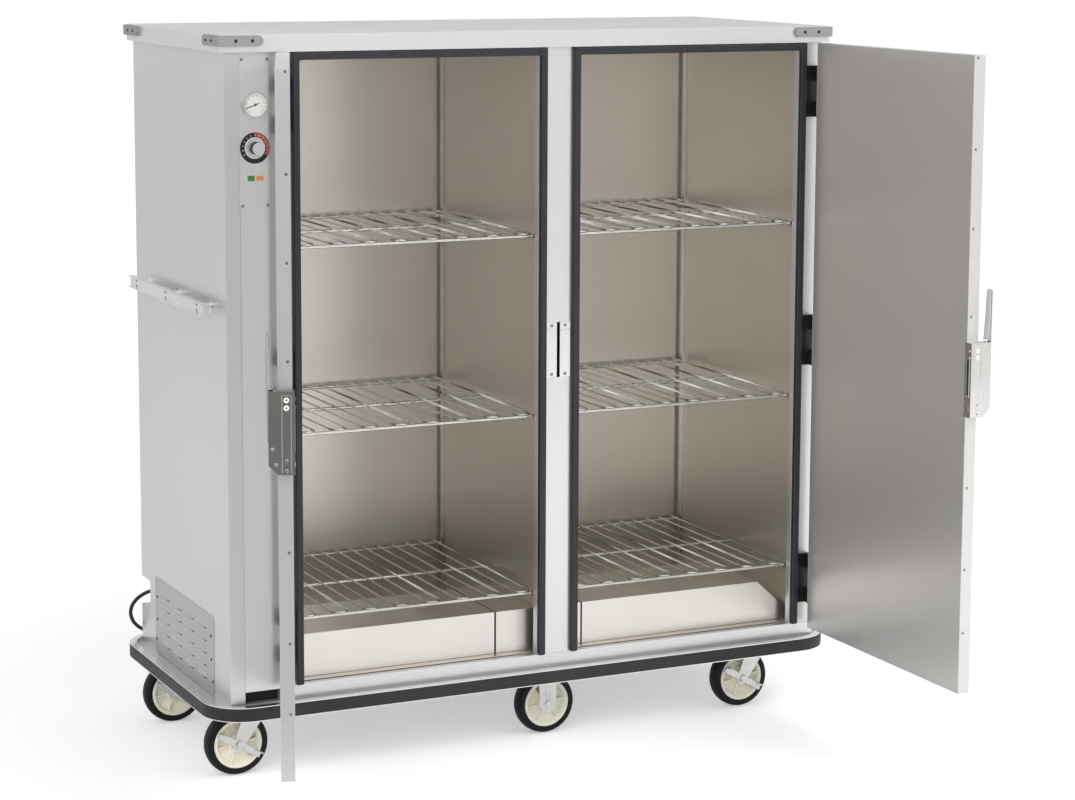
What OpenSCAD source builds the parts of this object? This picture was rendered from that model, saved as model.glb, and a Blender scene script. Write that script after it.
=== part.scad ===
// Mobile hot cupboard: an insulated two-door cabinet on six casters, its doors open.
// +X runs to the right along the front, +Y to the back and +Z up from the floor.

/* [Cabinet body] */
// Width of the body across the front
body_w = 1552; // [1450:1:1750]
// Depth of the body from front to back
body_d = 670; // [600:1:760]
// Height of the body between the deck and the cap
body_h = 1504; // [1420:1:1650]
// Thickness of the sheet steel
sheet = 1.2; // [0.8:0.1:2]
// Thickness of the insulated back wall
back_wall = 38; // [25:1:60]
// Thickness of the hollow wall between the two compartments
partition_w = 60; // [40:1:66]
// Height of the sill above the deck
sill_h = 40; // [30:1:55]
// Depth of the front frame members
frame_d = 20; // [14:1:22]
// Width of the folded corner post at the left
post_w = 36; // [25:1:50]
// Width of the control column beside the post
column_w = 84; // [80:1:120]
// Height of the air slot at the foot of the control column
air_slot_h = 28; // [15:1:40]

/* [Cap and corner bumpers] */
// Height of the cap
cap_h = 40; // [32:1:60]
// How far the cap stands out over the body
cap_over = 12; // [6:1:12]
// Length of a corner bumper's leg
corner_leg = 100; // [60:1:140]
// Height of a corner bumper
corner_h = 24; // [16:1:28]
// Thickness of a corner bumper
corner_t = 8; // [5:0.5:10]

/* [Base and bumper] */
// How far the bumper stands out over the body at the sides
base_over_x = 49; // [40:1:70]
// How far the bumper stands out over the body at the front and back
base_over_y = 38; // [36:1:60]
// Corner radius of the base, measured on the bumper
base_r = 100; // [60:1:150]
// Depth of the base frame, deck included
base_h = 23; // [18:1:30]
// Thickness of the deck plate
deck_t = 3; // [2:0.5:5]
// Height of the bumper strip
bumper_h = 30; // [24:1:40]
// How far the bumper strip stands out of its channel's web
bumper_t = 16; // [12:1:18]
// Thickness of the bumper channel
channel_t = 2; // [1:0.5:3]

/* [Doors] */
// Thickness of a door
door_t = 30; // [24:1:36]
// Angle of the left door as it stands open
left_open_angle = 110.4; // [80:0.1:130]
// Angle of the right door as it stands open
right_open_angle = 90.3; // [80:0.1:130]
// Width of a door gasket
gasket_w = 19; // [14:1:22]
// How far a gasket stands out of the front frame
gasket_t = 12; // [8:1:16]
// Width of the bare strip of the mullion between the gaskets
mullion_w = 68; // [62:1:80]
// Height of a hinge
hinge_h = 126; // [90:1:150]
// Radius of a hinge barrel
barrel_r = 6; // [5:0.5:6.4]
// Radius of a hinge pin
hinge_pin_r = 3; // [2:0.5:3.5]

/* [Latches] */
// Height of a latch case
latch_h = 171; // [140:1:200]
// How far a latch case stands past the free edge of the door
latch_w = 25; // [20:1:27]
// How far a latch case stands out of the door's outer face
latch_out = 19; // [17:1:25]
// How far a latch case stands out of the door's inner face
latch_in = 5; // [3:0.5:6]
// Length of a latch lever above its pivot
lever_len = 222; // [150:1:260]
// Width of a latch lever
lever_w = 16; // [10:1:16]

/* [Shelves] */
// Number of shelves in each half
shelf_count = 3; // [2:1:3]
// Height of the lowest shelf rod above the deck
shelf_first = 188; // [175:1:230]
// Height between shelves
shelf_pitch = 434; // [300:1:440]
// Radius of a shelf rod
rod_r = 4; // [3:0.5:5]
// Radius of a shelf wire
wire_r = 2.5; // [1.5:0.5:3]
// Distance between shelf wires
wire_pitch = 39; // [30:1:60]

/* [Heater] */
// Height of the heater covers
duct_h = 102; // [80:1:120]
// Depth of the heater covers
duct_d = 250; // [200:1:320]
// Width of the middle heater cover
duct_mid_w = 228; // [180:1:260]

/* [Push rails] */
// Length of a push rail
rail_len = 554; // [420:1:590]
// Height of a push rail
rail_h = 28; // [20:1:40]
// Height of a push rail's middle above the deck
rail_z = 921; // [700:1:1100]
// How far a push rail's outer face stands off the side
rail_out = 40; // [34:1:48]

/* [Louvred vent] */
// Width of the louvred panel
vent_w = 444; // [440:1:500]
// Height of the louvred panel
vent_h = 190; // [180:1:230]
// Length of one louvre
louvre_len = 70; // [50:1:74]
// Radius of one louvre's bulge
louvre_r = 6; // [4:0.5:8]

/* [Controls] */
// Width of the control plate
plate_w = 72; // [72:1:78]
// Height of the control plate
plate_h = 340; // [330:1:380]
// Radius of the thermometer's case
thermo_r = 30; // [22:1:34]
// Angle of the thermometer's needle from upright as it stands cold
needle_angle = -110; // [-135:5:135]
// Radius of the thermostat's dial plate
dial_r = 35; // [28:1:35]
// Radius of the thermostat knob's skirt
knob_r = 21; // [16:1:24]
// Width of the lit switch with its pilot lamp
switch_w = 40; // [36:1:50]
// Height of the lit switch
switch_h = 16; // [14:1:24]

/* [Casters] */
// Radius of a wheel
wheel_r = 76; // [60:1:80]
// Width of a wheel
wheel_w = 40; // [30:1:50]
// Radius of a wheel's hub
hub_r = 59; // [40:1:60]
// Height of a caster from the floor to the top of its plate
caster_h = 183; // [182:1:210]
// Distance from the swivel to the axle
trail = 56; // [40:1:60]
// Radius of an axle
axle_r = 6; // [5:0.5:8]
// Distance of the swivels from the ends of the body
caster_inset_x = 101; // [90:1:150]
// Distance of the swivels from the front and the back of the body
caster_inset_y = 100; // [95:1:130]
// Place of the rigid casters along the base
rigid_x = 69; // [-100:1:150]
// Length of a brake bar
brake_len = 116; // [90:1:130]

/* [Cord] */
// Diameter of the power cord
cord_d = 9.5; // [7:0.5:9.5]
// Turns in each layer of the coil
coil_turns = 2.5; // [1.5:0.5:2.5]
// Radius of the coil's outer turn
coil_r = 66; // [64:1:75]

/* [Hidden] */
$fn = 48;

// Overrun of every cut, seam between neighbouring sheets, play of moving pieces and of a shaft in its bore
cut = 5;
seam = 0.3;
play = 0.5;
run = 0.05;

// Angles of a full, half and quarter turn
full_turn = 360;
half_turn = 180;
quarter_turn = 90;

// Faces of the body, and the levels of the deck, the cap and the top
body_x = body_w / 2;
body_y = body_d / 2;
deck_z = caster_h + deck_t;
cap_z = deck_z + body_h;
top_z = cap_z + cap_h;
caster_x = body_x - caster_inset_x;
caster_y = body_y - caster_inset_y;

// Hinge axes of the two doors, and the middle between them
hinge_inset_right = 20.3;
hinge_inset_left = 10.3;
hinge_right_x = body_x - hinge_inset_right;
hinge_left_x = -body_x + post_w + column_w + hinge_inset_left;
door_mid = (hinge_left_x + hinge_right_x) / 2;
hinge_edge = 8;
door_in_y = -body_y - gasket_t - seam;
door_out_y = door_in_y - door_t;
hinge_y = (door_in_y + door_out_y) / 2;

// Opening of the right half, measured from the middle between the doors
half = hinge_right_x - door_mid;
gasket_to_hinge = 27.7;
open_out = half - gasket_to_hinge - gasket_w;
open_in = mullion_w / 2 + gasket_w;
open_top = cap_z - seam - gasket_w;
sill_z = deck_z + sill_h;
floor_rise = 3;
floor_z = sill_z + floor_rise;

// Inside of the liner
liner_set = 21;
cavity_half = open_out + liner_set;
cavity_y0 = -body_y + frame_d + seam;
cavity_y1 = body_y - back_wall;
ceiling_z = open_top;
partition_half = partition_w / 2;
column_x = -body_x + post_w + column_w;

// A door's edges and ends as it is closed, measured from the middle between the doors
door_lap = 4.3;
door_free = mullion_w / 2 - door_lap;
door_hinge = half - hinge_edge;
door_sag = 4;
door_z0 = sill_z - door_sag;
door_z1 = cap_z;
door_h = door_z1 - door_z0;
hinge_end = 120;
hinge_mid_share = 0.496;
hinge_heights = [door_z0 + hinge_end, door_z0 + door_h * hinge_mid_share, door_z1 - hinge_end];

// Latch: height of its foot above the door's, its pivot, its rollers
latch_foot = 650;
latch_z = door_z0 + latch_foot;
lever_pivot_rise = 71;
lever_pivot_z = latch_z + lever_pivot_rise;
lever_off = 12;
lever_y = door_out_y - lever_off;
lever_t = 3;
lever_pin_r = 3;
case_wall = 2;
roller_r = 2.5;
roller_rise = [137, 153];

// Block between two corners
module block(lo, hi) {
  translate(lo) cube(hi - lo);
}

// Flat plate with round corners, standing on z0
module round_slab(w, d, r, z0, h) {
  translate([0, 0, z0]) linear_extrude(h) {
    square([w - 2 * r, d], center = true);
    square([w, d - 2 * r], center = true);
    for (sx = [-1, 1], sy = [-1, 1]) translate([sx * (w / 2 - r), sy * (d / 2 - r)]) circle(r);
  }
}

// Ring of a round-cornered outline, between two insets from the bumper's outer face
module base_ring(inset_out, inset_in, z0, h) {
  difference() {
    round_slab(base_w - 2 * inset_out, base_dd - 2 * inset_out, base_r - inset_out, z0, h);
    round_slab(base_w - 2 * inset_in, base_dd - 2 * inset_in, base_r - inset_in, z0 - cut, h + 2 * cut);
  }
}

// Cylinder along Y from y0 to y1, and along X from x0 to x1
module bar_y(r, y0, y1) {
  translate([0, y0, 0]) rotate([-quarter_turn, 0, 0]) cylinder(r = r, h = y1 - y0);
}
module bar_x(r, x0, x1) {
  translate([x0, 0, 0]) rotate([0, quarter_turn, 0]) cylinder(r = r, h = x1 - x0);
}

// A piece of the right half stays, and the left half is its mirror image about the middle between the doors
module half_side(side) {
  translate([door_mid, 0, 0]) mirror([side < 0 ? 1 : 0, 0, 0]) children();
}

// Turn a closed door's piece to the angle at which the door stands open
module hung(side) {
  angle = side < 0 ? left_open_angle : right_open_angle;
  half_side(side) translate([half, hinge_y, 0]) rotate([0, 0, angle])
    translate([-half, -hinge_y, 0]) children();
}

// Base: deck plate with a turned-down rim and two stiffening ribs under it
base_w = body_w + 2 * base_over_x;
base_dd = body_d + 2 * base_over_y;
deck_inset = bumper_t + channel_t;
rim_t = 3;
rib_y = 90;
rib_t = 4;
rib_end = 60;

module base_frame() {
  color("silver") {
    base_ring(deck_inset, deck_inset + rim_t, deck_z - base_h, base_h);
    round_slab(base_w - 2 * deck_inset, base_dd - 2 * deck_inset, base_r - deck_inset,
               deck_z - deck_t, deck_t);
    for (s = [-1, 1])
      block([-body_x + rib_end, s * rib_y - rib_t / 2, deck_z - base_h],
            [body_x - rib_end, s * rib_y + rib_t / 2, deck_z - deck_t / 2]);
  }
}

// Bumper: the strip's foot is level with the base frame's, and the channel's lips hold it above and below
bumper_z = deck_z - base_h;
lip_w = 9;

module bumper_channel() {
  color("gainsboro") {
    base_ring(bumper_t, deck_inset, bumper_z - channel_t, bumper_h + 2 * channel_t);
    for (z = [bumper_z - channel_t, bumper_z + bumper_h])
      base_ring(bumper_t - lip_w, deck_inset, z, channel_t);
  }
}

module bumper_strip() {
  color("dimgray") base_ring(0, bumper_t, bumper_z, bumper_h);
}

// Recess in the back left corner where the cord comes out
recess_w = 70;
recess_d = 69;
recess_rise = 96;
recess_h = 72;
recess_x = -body_x + recess_w;
recess_y = body_y - recess_d;
recess_z0 = deck_z + recess_rise;
recess_z1 = recess_z0 + recess_h;

// Louvred panel on the left side: its place above the deck, and the opening behind it
vent_lift = 2;
vent_z0 = deck_z + vent_lift;
vent_lap = 24;

module side_panel_left() {
  color("lightgray") difference() {
    union() {
      block([-body_x, -body_y, deck_z], [-body_x + sheet, body_y, cap_z]);
      block([-body_x, -body_y, deck_z], [-body_x + post_w - seam, -body_y + sheet, cap_z]);
    }
    block([-body_x - cut, -vent_w / 2 + vent_lap, vent_z0 + vent_lap],
          [-body_x + cut, vent_w / 2 - vent_lap, vent_z0 + vent_h - vent_lap]);
    block([-body_x - cut, recess_y, recess_z0], [recess_x, body_y + cut, recess_z1]);
  }
}

module side_panel_right() {
  color("lightgray") block([body_x - sheet, -body_y + frame_d + seam, deck_z], [body_x, body_y, cap_z]);
}

// Back sheet, and the pocket of the cord recess from four plates
module back_panel() {
  x0 = -body_x + sheet + seam;
  y1 = body_y - sheet - seam;
  color("lightgray") {
    difference() {
      block([x0, body_y - sheet, deck_z], [body_x - sheet - seam, body_y, cap_z]);
      block([-body_x - cut, body_y - sheet - cut, recess_z0], [recess_x, body_y + cut, recess_z1]);
    }
    difference() {
      block([x0, recess_y - sheet, recess_z0], [recess_x, recess_y, recess_z1]);
      translate([gland_x, 0, gland_z]) bar_y(gland_r + run, recess_y - cut, recess_y + cut);
    }
    block([recess_x + seam, recess_y - sheet, recess_z0], [recess_x + seam + sheet, y1, recess_z1]);
    for (z = [recess_z0 - seam - sheet, recess_z1 + seam])
      block([x0, recess_y - sheet, z], [recess_x + seam + sheet, y1, z + sheet]);
  }
}

// Cap: a shallow pan turned over the body
module top_cap() {
  color("whitesmoke") difference() {
    block([-body_x - cap_over, -body_y - cap_over, cap_z], [body_x + cap_over, body_y + cap_over, top_z]);
    block([-body_x - cap_over + sheet, -body_y - cap_over + sheet, cap_z - cut],
          [body_x + cap_over - sheet, body_y + cap_over - sheet, top_z - sheet]);
  }
}

// Corner bumper: two legs with round ends that meet round the cap's corner
corner_drop = 2;
corner_z = top_z - corner_drop - corner_h / 2;

module corner_leg_bar() {
  rotate([quarter_turn, 0, 0]) linear_extrude(corner_t) {
    translate([0, -corner_h / 2]) square([corner_leg - corner_h / 2, corner_h]);
    translate([corner_leg - corner_h / 2, 0]) circle(corner_h / 2);
  }
}

module corner_bumpers() {
  color("darkgray") for (sx = [-1, 1], sy = [-1, 1])
    translate([sx * (body_x + cap_over), sy * (body_y + cap_over), corner_z])
      mirror([sx > 0 ? 1 : 0, 0, 0]) mirror([0, sy > 0 ? 1 : 0, 0]) {
        corner_leg_bar();
        mirror([1, -1, 0]) corner_leg_bar();
        translate([0, 0, -corner_h / 2]) intersection() {
          cylinder(r = corner_t, h = corner_h);
          translate([-corner_t, -corner_t, 0]) cube([corner_t, corner_t, corner_h]);
        }
      }
}

// Liner: two side sheets, back, ceiling and floor, and the wall between the compartments from two sheets
// that are notched over the middle heater cover
module liner() {
  x0 = door_mid - cavity_half;
  x1 = door_mid + cavity_half;
  color("silver") {
    block([x0 - sheet, cavity_y0, floor_z], [x0, cavity_y1, ceiling_z]);
    block([x1, cavity_y0, floor_z], [x1 + sheet, cavity_y1, ceiling_z]);
    block([x0 - sheet, cavity_y1 + seam, floor_z], [x1 + sheet, cavity_y1 + seam + sheet, ceiling_z]);
    block([x0 - sheet, cavity_y0, ceiling_z + seam], [x1 + sheet, cavity_y1, ceiling_z + seam + sheet]);
    block([x0 - sheet, cavity_y0, floor_z - seam - sheet], [x1 + sheet, cavity_y1, floor_z - seam]);
    for (side = [-1, 1]) half_side(side) difference() {
      block([partition_half - sheet, cavity_y0, floor_z], [partition_half, cavity_y1, ceiling_z]);
      block([0, duct_y0 - seam, floor_z - cut],
            [partition_w, duct_y0 + duct_d + seam, duct_z0 + duct_h + seam]);
    }
  }
}

// Insulation slabs in the two sides, the back, the roof and under the floor
module insulation() {
  x0 = door_mid - cavity_half - sheet - seam;
  x1 = door_mid + cavity_half + sheet + seam;
  y1 = cavity_y1 + 2 * seam + sheet;
  y2 = body_y - sheet - seam;
  color("khaki") {
    block([column_x + seam, cavity_y0, deck_z], [x0, cavity_y1, ceiling_z]);
    block([x1, cavity_y0, deck_z], [body_x - sheet - seam, cavity_y1, ceiling_z]);
    block([column_x + seam, y1, deck_z], [body_x - sheet - seam, y2, ceiling_z]);
    block([column_x + seam, cavity_y0, ceiling_z + 2 * seam + sheet],
          [body_x - sheet - seam, y2, top_z - sheet - seam]);
    block([x0 + seam, cavity_y0, deck_z], [x1 - seam, cavity_y1, floor_z - 2 * seam - sheet]);
  }
}

// Frame member folded from sheet, open at its back
module folded_member(lo, hi) {
  difference() {
    block(lo, hi);
    block(lo + [sheet, sheet, sheet], hi + [-sheet, cut, -sheet]);
  }
}

// Front frame: left and right jambs, head, sill, and a low lip under the air slot
lip_h = 7;

module face_frame() {
  y0 = -body_y;
  y1 = -body_y + frame_d;
  left = door_mid - open_out;
  right = door_mid + open_out;
  color("gainsboro") {
    folded_member([column_x + seam, y0, sill_z + seam], [left, y1, cap_z]);
    folded_member([right, y0, sill_z + seam], [body_x, y1, cap_z]);
    folded_member([left + seam, y0, open_top], [right - seam, y1, cap_z]);
    folded_member([column_x + seam, y0, deck_z], [body_x, y1, sill_z]);
    block([-body_x + post_w, y0, deck_z], [column_x, y1, deck_z + lip_h]);
  }
}

// Mullion: a box between the two openings, with the slot that the strike plates stand beside
strike_w = 27;
strike_gap = 8;
strike_h = 133;
strike_t = 2;
strike_rise = 31;
strike_z = latch_z + strike_rise;

module mullion() {
  color("gainsboro") difference() {
    folded_member([door_mid - open_in, -body_y, sill_z + seam],
                  [door_mid + open_in, -body_y + frame_d, open_top - seam]);
    block([door_mid - strike_gap / 2, -body_y - cut, strike_z],
          [door_mid + strike_gap / 2, -body_y + frame_d + cut, strike_z + strike_h]);
  }
}

// Strike plates: each has a ridge that the latch's two rollers close over
ridge_r = 2;

module strike_plates() {
  ridge_z = latch_z + (roller_rise[0] + roller_rise[1]) / 2;
  color("white") for (side = [-1, 1]) half_side(side) {
    block([strike_gap / 2, -body_y - strike_t, strike_z],
          [strike_gap / 2 + strike_w, -body_y, strike_z + strike_h]);
    translate([0, -body_y - strike_t, ridge_z])
      bar_x(ridge_r, strike_gap / 2 + ridge_r, strike_gap / 2 + strike_w - ridge_r);
  }
}

// Control column: front panel with round and square holes for the instruments
plate_mid_share = 0.42;
thermo_x = -body_x + post_w + column_w * plate_mid_share;
plate_top = 10;
plate_t = 1.5;
plate_z1 = cap_z - plate_top;
plate_z0 = plate_z1 - plate_h;
plate_y = -body_y - plate_t;
thermo_drop = 107;
dial_drop = 204;
switch_drop = 272;
thermo_z = plate_z1 - thermo_drop;
dial_z = plate_z1 - dial_drop;
switch_z = plate_z1 - switch_drop;
thermo_neck = 6;
thermo_hole = thermo_r - thermo_neck;
stem_r = 8;
switch_rim = 2;

module instrument_holes() {
  translate([thermo_x, 0, thermo_z]) bar_y(thermo_hole + seam, plate_y - cut, -body_y + cut);
  translate([thermo_x, 0, dial_z]) bar_y(stem_r + seam, plate_y - cut, -body_y + cut);
  hole_x = switch_w / 2 - switch_rim + seam;
  hole_z = switch_h / 2 - switch_rim + seam;
  block([thermo_x - hole_x, plate_y - cut, switch_z - hole_z],
        [thermo_x + hole_x, -body_y + cut, switch_z + hole_z]);
}

module column_panel() {
  color("gainsboro") difference() {
    block([-body_x + post_w, -body_y, deck_z + lip_h + air_slot_h], [column_x, -body_y + sheet, cap_z]);
    instrument_holes();
  }
}

module control_plate() {
  color("whitesmoke") difference() {
    block([thermo_x - plate_w / 2, plate_y, plate_z0], [thermo_x + plate_w / 2, -body_y, plate_z1]);
    instrument_holes();
  }
}

// Screw heads: control plate, louvred panel, corner bumpers, push rails and strike plates
screw_r = 4;
screw_t = 1.6;
plate_screw_inset = 6;
corner_screw_shares = [0.35, 0.74];
strike_screw_share = 0.06;
vent_screw_shares = [[0.46, 0.74], [0.46, 0.44], [0.48, 0.17]];
rail_foot_share = 0.41;
rail_screw_gap = 14;

module head_front(x, y, z) {
  translate([x, 0, z]) bar_y(screw_r, y - screw_t, y);
}
module head_side(x, y, z) {
  translate([0, y, z]) bar_x(screw_r, x - screw_t, x);
}

module cabinet_screws() {
  color("silver") {
    for (sx = [-1, 1], z = [plate_z0 + plate_screw_inset, plate_z1 - plate_screw_inset])
      head_front(thermo_x + sx * (plate_w / 2 - plate_screw_inset), plate_y, z);
    for (s = [-1, 1], p = vent_screw_shares)
      head_side(-body_x - vent_t, s * vent_w * p[0], vent_z0 + vent_h * p[1]);
    for (side = [-1, 1], p = [strike_screw_share, 1 - strike_screw_share])
      half_side(side) head_front(strike_gap / 2 + strike_w / 2, -body_y - strike_t, strike_z + strike_h * p);
    for (sx = [-1, 1], sy = [-1, 1], p = corner_screw_shares)
      mirror([sx > 0 ? 1 : 0, 0, 0]) mirror([0, sy > 0 ? 1 : 0, 0]) {
        head_front(-body_x - cap_over + corner_leg * p, -body_y - cap_over - corner_t, corner_z);
        head_side(-body_x - cap_over - corner_t, -body_y - cap_over + corner_leg * p, corner_z);
      }
    for (sx = [-1, 1], p = [-1, 0, 1], dz = [-1, 1])
      mirror([sx > 0 ? 1 : 0, 0, 0])
        head_side(-body_x - rail_out + rail_lip, p * rail_len * rail_foot_share,
                  deck_z + rail_z + dz * rail_screw_gap / 2);
  }
}

// Dial thermometer: bezel and case in one, and a white face inside it
bezel_d = 9;
bezel_wall = 3;
face_set = 4;
face_t = 1;
case_d = 30;
face_y = plate_y - bezel_d + face_set;
needle_pin_r = 1.2;

module thermometer_case() {
  translate([thermo_x, 0, thermo_z]) {
    color("silver") difference() {
      union() {
        bar_y(thermo_r, plate_y - bezel_d, plate_y);
        bar_y(thermo_hole, plate_y - bezel_d / 2, plate_y + case_d);
      }
      bar_y(thermo_r - bezel_wall, plate_y - bezel_d - cut, face_y);
    }
    color("white") difference() {
      bar_y(thermo_r - bezel_wall - seam, face_y - face_t, face_y - run);
      bar_y(needle_pin_r + run, plate_y - bezel_d, face_y + cut);
    }
  }
}

// Pointer of the thermometer, with its arbor in the face
needle_t = 0.6;
needle_w = 2;
needle_hub_r = 3;
needle_tail_share = 0.35;
needle_reach = thermo_r - bezel_wall - 2 * play;
needle_tail = needle_reach * needle_tail_share;
needle_y = face_y - face_t - play;

module thermometer_needle() {
  translate([thermo_x, 0, thermo_z]) rotate([0, needle_angle, 0]) color("black") {
    rotate([quarter_turn, 0, 0]) translate([0, 0, -needle_y]) linear_extrude(needle_t) {
      polygon([[-needle_w / 2, -needle_tail], [needle_w / 2, -needle_tail],
               [needle_w / 4, needle_reach], [-needle_w / 4, needle_reach]]);
      circle(needle_hub_r);
    }
    bar_y(needle_pin_r, needle_y - needle_t / 2, face_y - 2 * run);
  }
}

// Thermostat: black dial plate on the control plate, body and shaft behind and through it
dial_t = 1.5;
stat_w = 56;
stat_d = 40;
shaft_r = 3;
shaft_out = 18;

module thermostat() {
  translate([thermo_x, 0, dial_z]) {
    color("black") difference() {
      bar_y(dial_r, plate_y - dial_t, plate_y);
      bar_y(stem_r + seam, plate_y - dial_t - cut, plate_y + cut);
    }
    color("silver") {
      translate([-stat_w / 2, -body_y + sheet, -stat_w / 2]) cube([stat_w, stat_d, stat_w]);
      bar_y(stem_r, plate_y - dial_t, -body_y + sheet + stat_d / 2);
      bar_y(shaft_r, plate_y - dial_t - shaft_out, plate_y);
    }
  }
}

// Thermostat knob: wide skirt, grip, and a bore for the shaft
skirt_d = 6;
grip_r = 14;
grip_d = 20;

module thermostat_knob() {
  y1 = plate_y - dial_t - play;
  translate([thermo_x, 0, dial_z]) color("silver") difference() {
    union() {
      bar_y(knob_r, y1 - skirt_d, y1);
      bar_y(grip_r, y1 - skirt_d - grip_d, y1 - skirt_d / 2);
    }
    bar_y(shaft_r + run, plate_y - dial_t - shaft_out - play, y1 + cut);
  }
}

// Lit switch: a rim on the plate, a body behind it with a well for the rocker, and the amber pilot lens
switch_out = 2;
switch_d = 26;
well_d = 14;
rocker_w = switch_w / 2 - 2 * switch_rim;
rocker_h = switch_h - 3 * switch_rim;
rocker_x = -switch_w / 4;
rocker_pin_r = 1.2;
rocker_pin_len = 1;

module switch_housing() {
  pin_reach = rocker_w / 2 + play + rocker_pin_len;
  translate([thermo_x, plate_y, switch_z]) {
    color("black") difference() {
      union() {
        block([-switch_w / 2, -switch_out, -switch_h / 2], [switch_w / 2, 0, switch_h / 2]);
        block([-switch_w / 2 + switch_rim, -switch_out / 2, -switch_h / 2 + switch_rim],
              [switch_w / 2 - switch_rim, switch_d, switch_h / 2 - switch_rim]);
      }
      block([rocker_x - rocker_w / 2 - play, -switch_out - cut, -rocker_h / 2 - 2 * play],
            [rocker_x + rocker_w / 2 + play, well_d, rocker_h / 2 + 2 * play]);
      translate([0, rocker_pivot, 0])
        bar_x(rocker_pin_r + run, rocker_x - pin_reach, rocker_x + pin_reach);
      block([-rocker_x - rocker_w / 2 - run, -switch_out - cut, -rocker_h / 2 - run],
            [-rocker_x + rocker_w / 2 + run, switch_out + run, rocker_h / 2 + run]);
    }
    color("orange")
      block([-rocker_x - rocker_w / 2, -switch_out - switch_rim / 2, -rocker_h / 2],
            [-rocker_x + rocker_w / 2, switch_out, rocker_h / 2]);
  }
}

// Green rocker on a pin across the switch's well
rocker_pivot = 5;
rocker_out = 2;

module power_rocker() {
  translate([thermo_x + rocker_x, plate_y, switch_z]) color("green") {
    block([-rocker_w / 2, -switch_out - rocker_out / 2, -rocker_h / 2],
          [rocker_w / 2, rocker_pivot, rocker_h / 2]);
    translate([0, rocker_pivot, 0]) {
      bar_x(rocker_h / 2, -rocker_w / 2, rocker_w / 2);
      bar_x(rocker_pin_r, -rocker_w / 2 - rocker_pin_len, rocker_w / 2 + rocker_pin_len);
    }
  }
}

// Heater covers on the floor: left with its corner cut off, middle, and right with a sloping end
duct_set = 24;
duct_gap = 4;
duct_end = 12;
duct_slope_w = 78;
duct_foot_h = 32;
duct_chamfer = 24;
duct_y0 = cavity_y0 + duct_set;
duct_z0 = floor_z + seam;

module duct_shell(x0, x1, slope_w, foot_h) {
  translate([0, duct_y0 + duct_d, duct_z0]) rotate([quarter_turn, 0, 0]) difference() {
    linear_extrude(duct_d) polygon([[x0, 0], [x1, 0], [x1, foot_h], [x1 - slope_w, duct_h], [x0, duct_h]]);
    translate([0, 0, sheet]) linear_extrude(duct_d - 2 * sheet)
      polygon([[x0 + sheet, -cut], [x1 - sheet, -cut], [x1 - sheet, foot_h - sheet],
               [x1 - slope_w - sheet, duct_h - sheet], [x0 + sheet, duct_h - sheet]]);
  }
}

duct_left_x0 = door_mid - cavity_half + duct_end;
duct_mid_shift = -27;
duct_mid_x0 = door_mid + duct_mid_shift - duct_mid_w / 2;
duct_mid_x1 = duct_mid_x0 + duct_mid_w;
duct_right_x1 = door_mid + cavity_half - duct_end;

module heater_covers() {
  color("whitesmoke") {
    mirror([1, 0, 0]) duct_shell(duct_gap - duct_mid_x0, -duct_left_x0, duct_chamfer, duct_h - duct_chamfer);
    duct_shell(duct_mid_x0, duct_mid_x1, 0, duct_h);
    duct_shell(duct_mid_x1 + duct_gap, duct_right_x1, duct_slope_w, duct_foot_h);
  }
}

// Heating elements: a hairpin of tube on two feet under the left and the right cover
element_r = 4;
element_bend = 45;
element_rise = 45;
element_inset = 60;
element_foot_share = 0.2;

module hairpin(x0, x1) {
  z = floor_z + element_rise;
  translate([0, duct_y0 + duct_d / 2, z]) {
    for (s = [-1, 1]) translate([0, s * element_bend, 0]) bar_x(element_r, x0, x1);
    translate([x1, 0, 0]) rotate([0, 0, -quarter_turn]) rotate_extrude(angle = half_turn)
      translate([element_bend, 0]) circle(element_r);
    for (s = [-1, 1], p = [element_foot_share, 1 - element_foot_share])
      translate([x0 + (x1 - x0) * p, s * element_bend, -element_rise + seam])
        cylinder(r = element_r / 2, h = element_rise - seam);
  }
}

module heater_elements() {
  color("dimgray") {
    hairpin(duct_left_x0 + element_inset, duct_mid_x0 - 2 * element_inset);
    hairpin(duct_mid_x1 + element_inset, duct_right_x1 - duct_slope_w - element_inset - element_bend);
  }
}

// Shelves: three rods along each, with wires from front to back on top of them
upright_t = 6;
shelf_clear = 2;
shelf_in = partition_half + upright_t + shelf_clear;
shelf_out = cavity_half - upright_t - shelf_clear;
shelf_len = shelf_out - shelf_in;
rod_set = 7;
rod_back_set = 20;
rod_y0 = cavity_y0 + rod_set;
rod_y1 = cavity_y1 - rod_back_set;
wire_over = 5;
wire_bite = 0.8;
wire_count = floor(shelf_len / wire_pitch);
wire_first = (shelf_len - (wire_count - 1) * wire_pitch) / 2;
function shelf_z(i) = deck_z + shelf_first + i * shelf_pitch;

module shelf() {
  eighth = 22.5;
  for (y = [rod_y0, (rod_y0 + rod_y1) / 2, rod_y1])
    translate([shelf_in, y, 0]) rotate([0, quarter_turn, 0]) rotate([0, 0, eighth])
      cylinder(r = rod_r, h = shelf_len, $fn = 8);
  for (i = [0:wire_count - 1])
    translate([shelf_in + wire_first + i * wire_pitch, rod_y0 - wire_over, rod_r + wire_r - wire_bite])
      rotate([-quarter_turn, 0, 0]) rotate([0, 0, eighth])
        cylinder(r = wire_r, h = rod_y1 - rod_y0 + 2 * wire_over, $fn = 8);
}

module shelves() {
  color("lightgray") for (side = [-1, 1], i = [0:shelf_count - 1])
    half_side(side) translate([0, 0, shelf_z(i)]) shelf();
}

// Shelf supports: uprights on the walls of both compartments, with a lug under each rod's end
upright_w = 16;
lug_len = 14;
lug_h = 8;

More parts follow.
